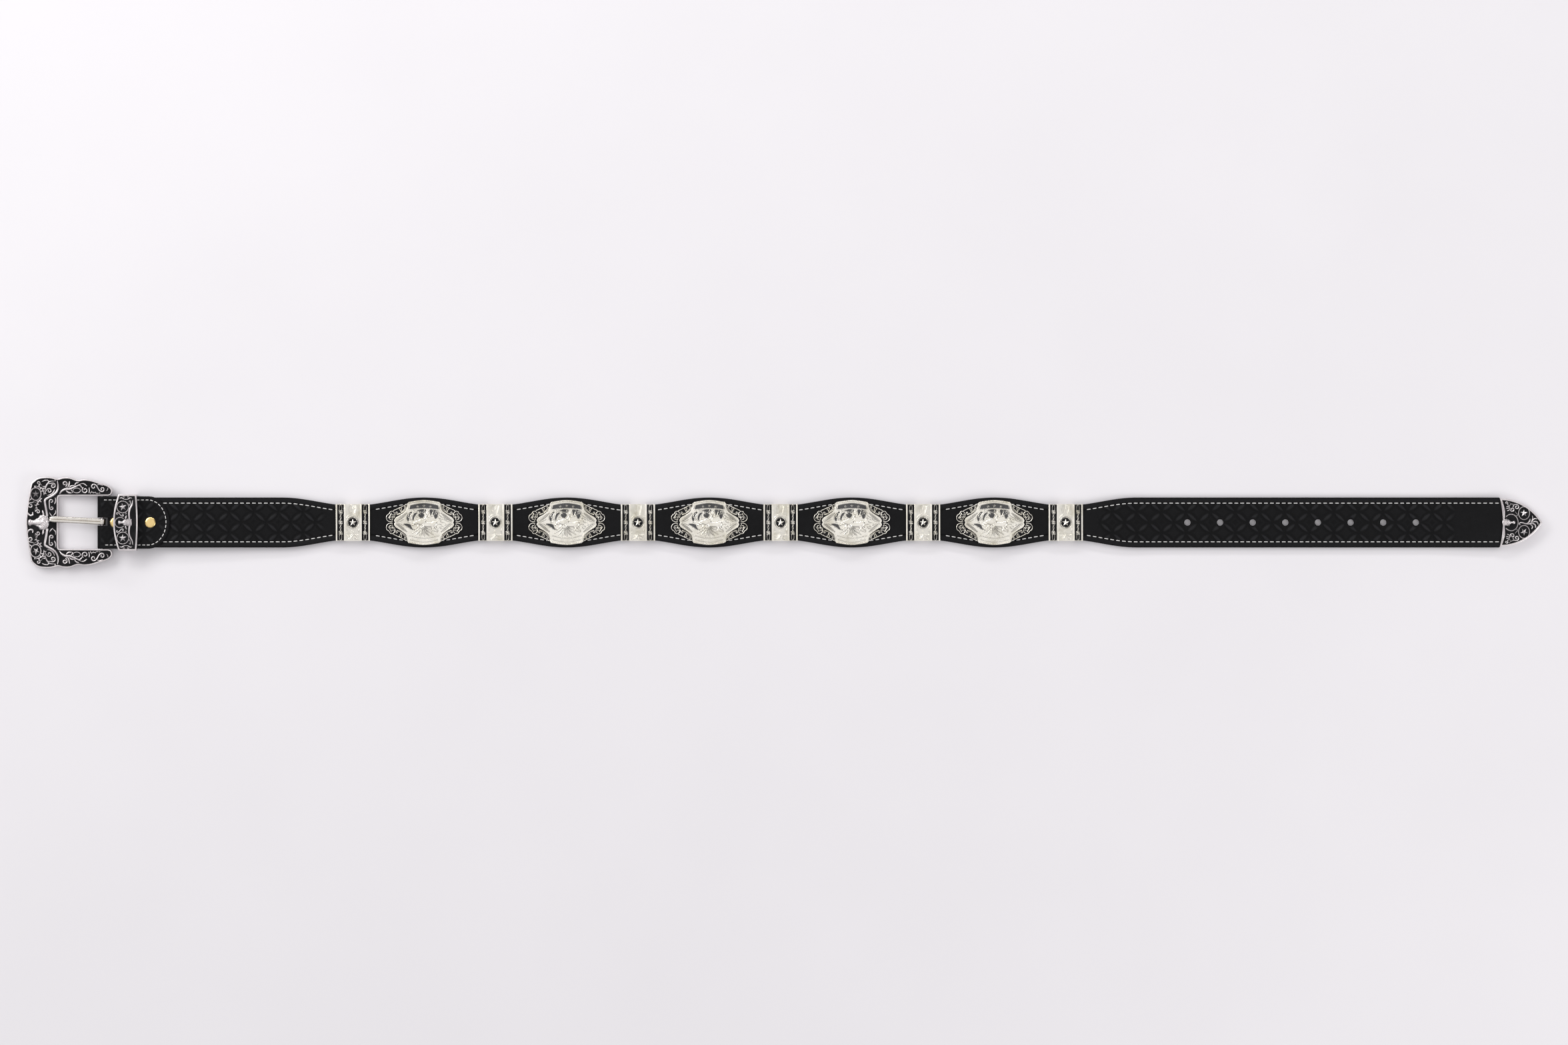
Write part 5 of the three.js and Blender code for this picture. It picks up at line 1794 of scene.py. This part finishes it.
@dataclass
class Concho:
    """A black filigree base with its rivet, and a bright relief plate on it."""

    seat: float = 4.3
    base_thickness: float = 1.0
    plate_thickness: float = 1.3
    count: int = 5
    base_quarter: tuple[Point, ...] = ((27.4, 0), (28.5, 1), (29.25, 3.4), (28.8, 5.4), (26.8, 7),
                                       (25.7, 8.9), (23.9, 9.2), (12.2, 14.6))
    plate_quarter: tuple[Point, ...] = ((22.2, 0), (22.8, 1.5), (21.4, 3.8), (17.9, 5.9), (14.2, 8.7),
                                        (12.6, 12.2), (12.3, 15), (6.2, 16.4), (0, 16.9))

    def base_strokes(self) -> list[Stroke]:
        """One quarter of the base's filigree.

        Returns:
            The strokes.
        """
        return [
            line((12.5, 14.1), (23.6, 8.9), w=(0.5, 0.5)),
            line((13.0, 13.2), (13.2, 11.2), (15.0, 8.9), (18.2, 6.8), (20.8, 5.8), w=(0.45, 0.45)),
            line((21.9, 5.6), (22.6, 7.4), (24.2, 8.5), (25.8, 8.1), (26.5, 6.7), (28.3, 5.4), (28.8, 3.4),
                 (27.9, 1.5), (26.0, 0.6), (23.9, 0.7), w=(0.5, 0.5)),
            double_scroll((14.7, 11.6), (17.4, 8.6), 0.75, -1, 1, 0.42),
            curl(20.7, 7.4, 0.85, 300, 330, 0.42, ((18.6, 7.2), (19.8, 6.6))),
            curl(25.3, 3.0, 1.7, 250, -400, 0.55),
            curl(23.2, 4.6, 0.9, 200, 330, 0.45, ((24.8, 5.8), (23.6, 6.2))),
            line((24.9, 7.3), (25.6, 5.6), (27.4, 3.2), w=(0.4, 0.55, 0.3)),
        ]

    def figure(self, floor: float) -> bmesh.types.BMesh:
        """A bucking bull with a rider, of plain generic forms.

        Args:
            floor: The plate's ground.

        Returns:
            The form.
        """
        f, r = floor, floor + 0.35
        return modelled([
            ((2.8, -1.5, f), (5.8, 2.3, 1.1), -4), ((-2.2, 0.6, f), (3.3, 2.8, 1.25), 22),
            ((-4.9, 0.4, f), (2.1, 1.9, 1.15), 10), ((-7.2, -0.4, f), (1.9, 1.3, 1.1), 46),
            ((-8.5, -1.9, f), (0.95, 0.85, 0.9), 50), ((-8.2, 1.5, f), (1.6, 0.38, 0.7), 152),
            ((-9.5, 2.6, f), (0.4, 0.9, 0.6), 10), ((-6.3, 2.2, f), (0.42, 1.3, 0.7), -10),
            ((-6.0, -1.4, f), (1.2, 0.5, 0.8), -30), ((7.4, -0.9, f), (2.7, 2.3, 1.1), 14),
            ((-4.8, -2.8, f), (0.85, 2.0, 0.8), -34), ((-6.6, -4.5, f), (1.5, 0.5, 0.7), 38),
            ((-2.4, -3.3, f), (0.85, 2.3, 0.8), -8), ((-2.8, -5.9, f), (0.5, 1.3, 0.65), 20),
            ((8.5, -3.4, f), (1.1, 2.2, 0.85), 24), ((10.0, -5.8, f), (0.5, 1.7, 0.65), 38),
            ((6.4, -3.6, f), (1.0, 2.2, 0.8), -8), ((6.0, -6.0, f), (0.5, 1.5, 0.65), -16),
            ((10.3, 1.6, f), (2.3, 0.32, 0.6), 58), ((11.6, 3.9, f), (0.6, 0.9, 0.6), -20),
            ((1.4, 3.3, r), (1.35, 2.5, 0.95), -18), ((2.5, 6.4, r), (0.95, 1.1, 0.85), 0),
            ((2.5, 7.35, r), (2.1, 0.4, 0.8), -8), ((2.7, 8.1, r), (1.15, 0.8, 0.8), -8),
            ((4.3, 4.6, r), (1.6, 0.55, 0.7), 24), ((6.1, 6.2, r), (0.5, 1.5, 0.65), -20),
            ((6.7, 7.9, r), (0.6, 0.6, 0.6), 0), ((-0.7, 2.5, r), (2.0, 0.55, 0.7), 30),
            ((0.6, 0.2, r), (1.15, 2.2, 0.9), 22), ((-0.6, -2.4, r), (0.7, 1.5, 0.8), -8),
            ((-1.4, -3.7, r), (1.3, 0.5, 0.7), 14)], 0.23)

    def plate_strokes(self) -> list[Stroke]:
        """The plate's engraved feathers, scrolls and banner lines.

        Returns:
            The strokes.
        """
        found = [
            line((-10.6, 13.1), (-5, 14.4), (0, 14.9), (5, 14.4), (10.6, 13.1), w=(0.6, 0.6)),
            line((-11.4, 9.7), (-5, 10.4), (0, 10.6), (5, 10.4), (11.4, 9.7), w=(0.8, 0.8)),
            line((-11.4, -9.9), (-5, -11.4), (0, -11.9), (5, -11.4), (11.4, -9.9), w=(0.8, 0.8)),
            line((-10.6, -13.1), (-5, -14.4), (0, -14.9), (5, -14.4), (10.6, -13.1), w=(0.6, 0.6)),
            line((-10.6, 13.1), (-11.0, 11.4), (-11.4, 9.7), w=(0.6, 0.6)),
            line((10.6, 13.1), (11.0, 11.4), (11.4, 9.7), w=(0.6, 0.6)),
            curl(13.9, 1.6, 2.3, 80, -420, 0.8, ((9.0, 6.4), (11.4, 5.6))),
            curl(13.4, -3.4, 1.7, 110, 400, 0.7, ((9.8, -2.2), (11.0, -1.4))),
            leaf((10.2, 4.8), (11.9, 3.6), (12.3, 1.8), w=0.8),
            leaf((15.6, 3.9), (17.2, 2.4), (17.4, 0.6), w=0.8),
            curl(8.9, 7.6, 1.2, 240, 380, 0.6, ((5.4, 4.2), (7.2, 5.0))),
            leaf((9.4, 9.4), (11.0, 8.2), (11.7, 6.4), w=0.7),
            leaf((5.0, 9.9), (6.6, 9.6), (7.4, 8.8), w=0.6),
            *spray(((-10.4, 1.4), (-10.2, 5.2), (-7.8, 8.2), (-3.6, 9.6)), 1.8, 4, 0.75),
            *spray(((-6.2, 3.4), (-5.2, 5.6), (-3.0, 7.4), (0.4, 8.4)), 1.5, 4, 0.6),
            line((-12.9, 0.6), (-11.2, -0.2), (-10.4, 0.8), (-9.4, 2.0), w=(0.3, 0.8, 0.4)),
            leaf((-11.6, 3.2), (-12.2, 4.8), (-11.4, 6.4), w=0.75),
            leaf((-13.4, -3.4), (-11.6, -3.9), (-10.2, -5.2), w=0.6),
            line((0.2, 9.9), (0.4, 8.2), (1.0, 7.0), w=(0.9, 0.5, 0.3)),
            leaf((-8.8, -4.6), (-7.4, -5.8), (-7.2, -7.4), w=0.7),
        ]
        dice = random.Random(17)
        for _ in range(46):
            x, y = dice.uniform(9.5, 19.5), dice.uniform(-6.2, 6.2)
            if x + 2.1 * abs(y) < 24 and not -1 < y < 3.4:
                found.append(line((x, y), (x + dice.uniform(-0.3, 0.3), y + 0.35), w=(0.26, 0.26)))
        for side in (1, -1):
            for end in (1, -1):
                found += plume(((side * 21.4, end * 0.9), (side * 17.6, end * 3.4), (side * 12.9, end * 7.2)),
                               1.9, 14, 0.6, sweep=34)
                found.append(line((side * 21.9, end * 0.4), (side * 18.2, end * 1.1),
                                  (side * 15.4, end * 2.4), w=(0.5, 0.9, 0.3)))
        for tip, side in (((-9.2, -8.2), 1), ((-6.4, -9.6), 1), ((-3.2, -10.5), 1), ((0.4, -10.7), -1),
                          ((3.8, -10.2), -1), ((7.0, -9.2), -1), ((10.4, -7.2), -1)):
            low = (tip[0] * 0.5 - 0.6, tip[1] * 0.62 - 0.9)
            found.append(leaf((-0.8 + tip[0] * 0.16, -3.6), (low[0] - side * 0.5, low[1]), tip, w=1.0))
            found.append(line((-0.8 + tip[0] * 0.2, -4.2), (low[0] + side * 0.7, low[1] + 0.1),
                              (tip[0] + side * 1.1, tip[1] + 0.5), w=(0.2, 0.6, 0.2)))
        return found

    def dark_cells(self) -> list[list[Point]]:
        """Sunken polished fields of the plate, whose dark mirror reflection is painted into their colour.

        Returns:
            Their outlines.
        """
        return [
            [(10.5, 12.9), (5, 14.2), (0, 14.7), (-5, 14.2), (-10.5, 12.9), (-11.2, 9.9), (-5, 10.5),
             (0, 10.7), (5, 10.5), (11.2, 9.9)],
            [(-13.2, 3.4), (-12.6, 1.4), (-11.6, 1.2), (-11.2, 3.4), (-10.4, 5.6), (-8.8, 7.6), (-10.6, 8.0),
             (-12.4, 6.4)],
            [(-9.0, 1.8), (-7.9, 1.4), (-7.6, 3.0), (-6.4, 5.4), (-5.0, 7.2), (-6.6, 7.4), (-8.4, 5.6)],
            [(-6.0, 8.6), (-3.6, 8.4), (-4.4, 5.8), (-3.2, 3.8), (-1.0, 3.6), (0.2, 5.6), (-0.6, 7.0),
             (1.4, 8.6), (0.8, 9.9), (-2.8, 9.9)],
            [(4.2, 9.6), (4.6, 7.4), (5.0, 4.6), (5.8, 5.8), (7.2, 5.6), (8.4, 3.0), (9.8, 3.4), (10.4, 5.4),
             (10.6, 7.4), (8.2, 9.5)],
            [(-15.8, -1.2), (-13.0, -0.9), (-10.4, -1.6), (-9.6, -3.4), (-8.6, -5.6), (-10.6, -4.6),
             (-12.8, -3.0)],
        ]

    def build(self, bench: Bench) -> None:
        """Makes one concho and sets it between every two sliders.

        Args:
            bench: Where pieces are finished.
        """
        top = self.seat + self.base_thickness
        base = slab(fourfold(self.base_quarter), self.seat, top)
        soften(base, [e for e in base.edges if e.calc_face_angle(0) > 1], 0.2)
        trim = bmesh.new()
        quarter = self.base_strokes()
        every = [*quarter, *(s.flipped() for s in quarter)]
        every += [s.turned() for s in every]
        for side in (1, -1):
            every.append(line((12.2, side * 13.9), (-12.2, side * 13.9), w=(0.55, 0.55)))
        relief(trim, every, top, 0.8)
        for sx in (1, -1):
            for sy in (1, -1):
                for i in range(8):
                    a = math.tau * i / 8
                    ball(trim, (sx * 17.9 + 0.95 * math.cos(a), sy * 10.3 + 0.95 * math.sin(a), top),
                         (0.48, 0.26, 0.3), math.degrees(a))
        for z, r, depth in ((0.45, 4.5, 0.7), (2.6, 2.0, 4.2)):
            bmesh.ops.create_cone(trim, cap_ends=True, segments=28, radius1=r, radius2=r, depth=depth,
                                  matrix=Matrix.Translation((0, 0, z)))
        high = top + self.plate_thickness
        plate, _ = tray(smooth_path(fourfold(self.plate_quarter), True, 3), top, high + 0.35, 1.1, 0.4, 0.25)
        floor = high - 0.05
        work, ground = bmesh.new(), bmesh.new()
        for cell in self.dark_cells():
            border = smooth_path(cell, True, 3)
            absorb(ground, slab(border, floor - 0.1, floor + 0.03))
            relief(work, [Stroke((*border, border[0]), (0.42, 0.42))], floor, 0.9)
        relief(work, self.plate_strokes(), floor, 0.85)
        for side in (1, -1):
            rope(work, smooth_path([(-11.9, side * 15.0), (0, side * 16.5), (11.9, side * 15.0)], per=8),
                 0.95, (0.85, 0.42, 0.5), high + 0.15, 48)
            rope(work, smooth_path([(side * -20.6, -3.9), (side * -16.6, -6.6), (side * -13.2, -9.4)], per=6),
                 0.8, (0.4, 0.3, 0.35), floor + 0.1, 0)
        rope(work, [(-10.6, -12.4), (-5, -13.1), (0, -13.4), (5, -13.1), (10.6, -12.4)], 1.1,
             (0.38, 0.2, 0.3), floor, 60)
        rope(work, smooth_path([(-14.2, 1.8), (-13.4, 5.0), (-9.6, 9.0)], per=6), 0.75, (0.42, 0.3, 0.4),
             floor, 0)
        for x, y in ((-4.8, 12.1), (0, 12.6), (4.8, 12.1)):
            star(work, x, y, 1.35, floor + 0.12, 0.55, 90, 0.42)
        absorb(work, self.figure(floor))
        for number in range(1, self.count + 1):
            place = Matrix.Translation((FIRST_SLIDER + SCALLOP_PITCH * (number - 0.5), 0, 0))
            bench.piece(f"concho_{number}_base", base, BLACK, Body.BELT, [f"concho_base_{number}"], place,
                        keep=True)
            bench.piece(f"concho_{number}_filigree", trim, SILVER, Body.BELT, (), place, 70, True)
            bench.piece(f"concho_{number}_plate", plate, ENGRAVED, Body.BELT, [f"concho_plate_{number}"],
                        place, keep=True)
            # The relief's foot is coloured dark: blackened patina together with painted shade.
            bench.piece(f"concho_{number}_relief", work, SILVER, Body.BELT, (), place, 70, True,
                        fade=(floor - 0.05, floor + 0.33))
            # The polished fields, with their dark reflection painted into the colour.
            bench.piece(f"concho_{number}_dark_fields", ground, DARK_SILVER, Body.BELT, (), place, keep=True)
        for bm in (base, trim, plate, work, ground):
            bm.free()


@dataclass
class Tip:
    """The pointed metal cap on the strap's end."""

    half: float = 18.3
    length: float = BELT_LENGTH - TIP_START
    radius: float = 37.5
    concavity: float = 2.1
    front: float = 5.6
    rim: float = 1.2
    rim_height: float = 0.5
    wall: float = 0.8
    pocket_top: float = 4.5

    def half_width(self, s: np.ndarray) -> np.ndarray:
        """Half of the pointed arch's width at stations.

        Args:
            s: Stations.

        Returns:
            Half widths.
        """
        x = np.clip(s - TIP_START, 0, self.length)
        straight = self.half - self.radius
        return np.maximum(straight + np.sqrt(np.maximum(0, self.radius ** 2 - x ** 2)), 0)

    def outline(self) -> list[Point]:
        """The cap's outline, hollowed at the strap's side.

        Returns:
            The outline.
        """
        rows = np.linspace(0, self.length, 20)
        side = [(TIP_START + float(x), float(y)) for x, y in zip(rows, self.half_width(TIP_START + rows))]
        back = [(TIP_START + self.concavity * (1 - (y / self.half) ** 2), y)
                for y in np.linspace(-self.half, self.half, 13)[1:-1]]
        upper = [(x, y) for x, y in side if y > 0.6]
        return [*upper, (BELT_LENGTH, 0.0), *((x, -y) for x, y in reversed(upper)), *back]

    def wall_line(self) -> list[Point]:
        """The outline of the wall that runs round the pocket from one corner to the other.

        Returns:
            The outline.
        """
        outer = [(x, y) for x, y in self.outline()
                 if x > TIP_START + self.concavity or abs(y) > self.half - 0.1]
        inner = [(TIP_START + (x - TIP_START) * (1 - 1.5 / self.length),
                  y - math.copysign(min(self.wall, abs(y)), y))
                 for x, y in outer]
        return [*outer, *reversed(inner)]

    def strokes(self) -> list[Stroke]:
        """The scrollwork of the upper half, from the cap's left end.

        Returns:
            The strokes.
        """
        return [
            curl(5.0, 14.8, 1.15, 320, 340, 0.8, ((8.9, 14.2), (8.0, 13.4))),
            curl(12.7, 11.8, 1.8, 75, -360, 1.0, ((6.9, 15.5), (7.7, 14.7), (8.9, 14.1))),
            curl(9.4, 10.0, 1.8, 170, 380, 1.0, ((8.3, 14.2), (7.5, 13.0), (7.2, 11.9))),
            leaf((7.4, 12.4), (6.2, 12.3), (5.0, 11.9), w=0.85),
            leaf((7.2, 11.3), (6.2, 10.9), (4.9, 10.6), w=0.85),
            leaf((7.4, 10.1), (6.6, 9.3), (5.6, 8.9), w=0.85),
            leaf((11.2, 13.4), (10.2, 12.7), (10.0, 11.7), w=0.8),
            line((11.6, 8.6), (11.9, 7.6), (12.8, 6.9), (13.3, 5.9), (12.9, 5.1), (12.2, 5.3),
                 w=(0.3, 0.5, 0.5, 0.4)),
        ]

    def horns(self) -> list[Stroke]:
        """Both horns along the hollow edge.

        Returns:
            The strokes.
        """
        horn = line((2.9, 1.8), (3.0, 5.4), (3.0, 8.4), (2.7, 11.0), (2.0, 13.8), (1.3, 16.6),
                    w=(1.9, 2.2, 2.5, 2.4, 1.6, 0.5)).moved(TIP_START, 0)
        return [horn, horn.flipped()]

    def palmette(self) -> list[Stroke]:
        """The leaf spray at the point.

        Returns:
            The strokes.
        """
        return [
            line((15.7, -1.7), (14.9, -1.6), (14.7, -0.8), (15.6, -0.1), (17.2, -0.2), (19.4, -0.9),
                 (22.0, -1.1), (24.0, -0.5), w=(0.5, 0.8, 0.9, 1.0, 1.1, 1.0)),
            leaf((20.0, -0.8), (21.6, 0.0), (22.6, 1.2), (22.9, 2.5), w=1.15),
            leaf((23.2, -0.5), (24.3, 1.4), (24.9, 3.2), (24.6, 4.9), w=0.95),
            leaf((24.0, -0.4), (25.0, 1.8), (26.4, 3.0), (28.1, 2.7), w=1.0),
            leaf((23.8, -0.4), (26.2, 0.7), (28.2, 0.4), (28.9, -1.1), w=1.3),
            leaf((23.4, -0.6), (25.4, -1.0), (26.9, -2.0), (26.9, -3.7), w=1.25),
            leaf((22.2, -1.0), (23.6, -1.7), (24.7, -3.0), (24.2, -4.7), w=1.15),
        ]

    def build(self, bench: Bench) -> None:
        """Makes the cap, its enamel and its relief.

        Args:
            bench: Where pieces are finished.
        """
        top = self.front + self.rim_height
        shell, floor_line = tray(self.outline(), self.pocket_top, top, self.rim, self.rim_height, 0.35)
        absorb(shell, slab(self.outline(), 0, self.wall))
        absorb(shell, slab(self.wall_line(), self.wall, self.pocket_top))
        bench.piece("tip_cap", shell, NICKEL, Body.BELT, ["tip"])
        bench.piece("tip_enamel", slab(floor_line, self.front - 0.1, self.front + 0.03), BLACK, Body.BELT)
        work = bmesh.new()
        upper = [s.moved(TIP_START, 0) for s in self.strokes()]
        relief(work, [*upper, *(s.flipped() for s in upper),
                      *(s.moved(TIP_START, 0) for s in self.palmette())],
               self.front, 0.8)
        relief(work, self.horns(), self.front, 0.7)
        for horn in self.horns():
            rope(work, smooth_path(horn.points), 0.55, (0.24, 0.8, 0.3), self.front + 0.55, 18)
        for side in (1, -1):
            rope(work, ellipse(TIP_START + 18.3, side * 7.1, 4.2, 4.9), 0.55, (0.5, 0.26, 0.4), self.front)
            star(work, TIP_START + 18.3, side * 7.1, 2.9, self.front, 0.7, 90 * side)
        rope(work, ellipse(TIP_START + 8.5, 0, 5.3, 6.3, 222, 276), 0.55, (0.5, 0.26, 0.4), self.front)
        x, f = TIP_START, self.front
        absorb(work, modelled([
            ((x + 4.0, 0, f - 0.3), (2.6, 2.7, 1.2), 0), ((x + 6.4, 0, f - 0.3), (2.4, 1.9, 1.1), 0),
            ((x + 8.6, 0, f - 0.3), (1.8, 0.8, 0.9), 0),
            ((x + 10.6, 0, f - 0.2), (1.25, 1.35, 1.0), 0)], 0.22))
        relief(work, hair(x + 4.8, 0, 2.9, 2.4, 36, 9, 0.36), f + 0.62, 1.2)
        relief(work, hair(x + 4.6, 0, 1.9, 1.6, 18, 4, 0.38), f + 0.85, 1.1)
        # The relief's foot is coloured dark: blackened patina together with painted shade.
        bench.piece("tip_relief", work, NICKEL, Body.BELT, crease=70, fade=(f, f + 0.3))


def main() -> None:
    """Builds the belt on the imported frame."""
    logging.basicConfig(level=logging.INFO, format="%(message)s")
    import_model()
    Studio().build()
    bench = Bench()
    snaps = [Snap(station, number) for number, station in enumerate(SNAP_STATIONS, 1)]
    parts = [Strap(), Chape(), Buckle(), Prong(), Keeper(), *snaps, Slider(), Concho(), Tip()]
    for part in parts:
        part.build(bench)


if __name__ == "__main__":
    main()
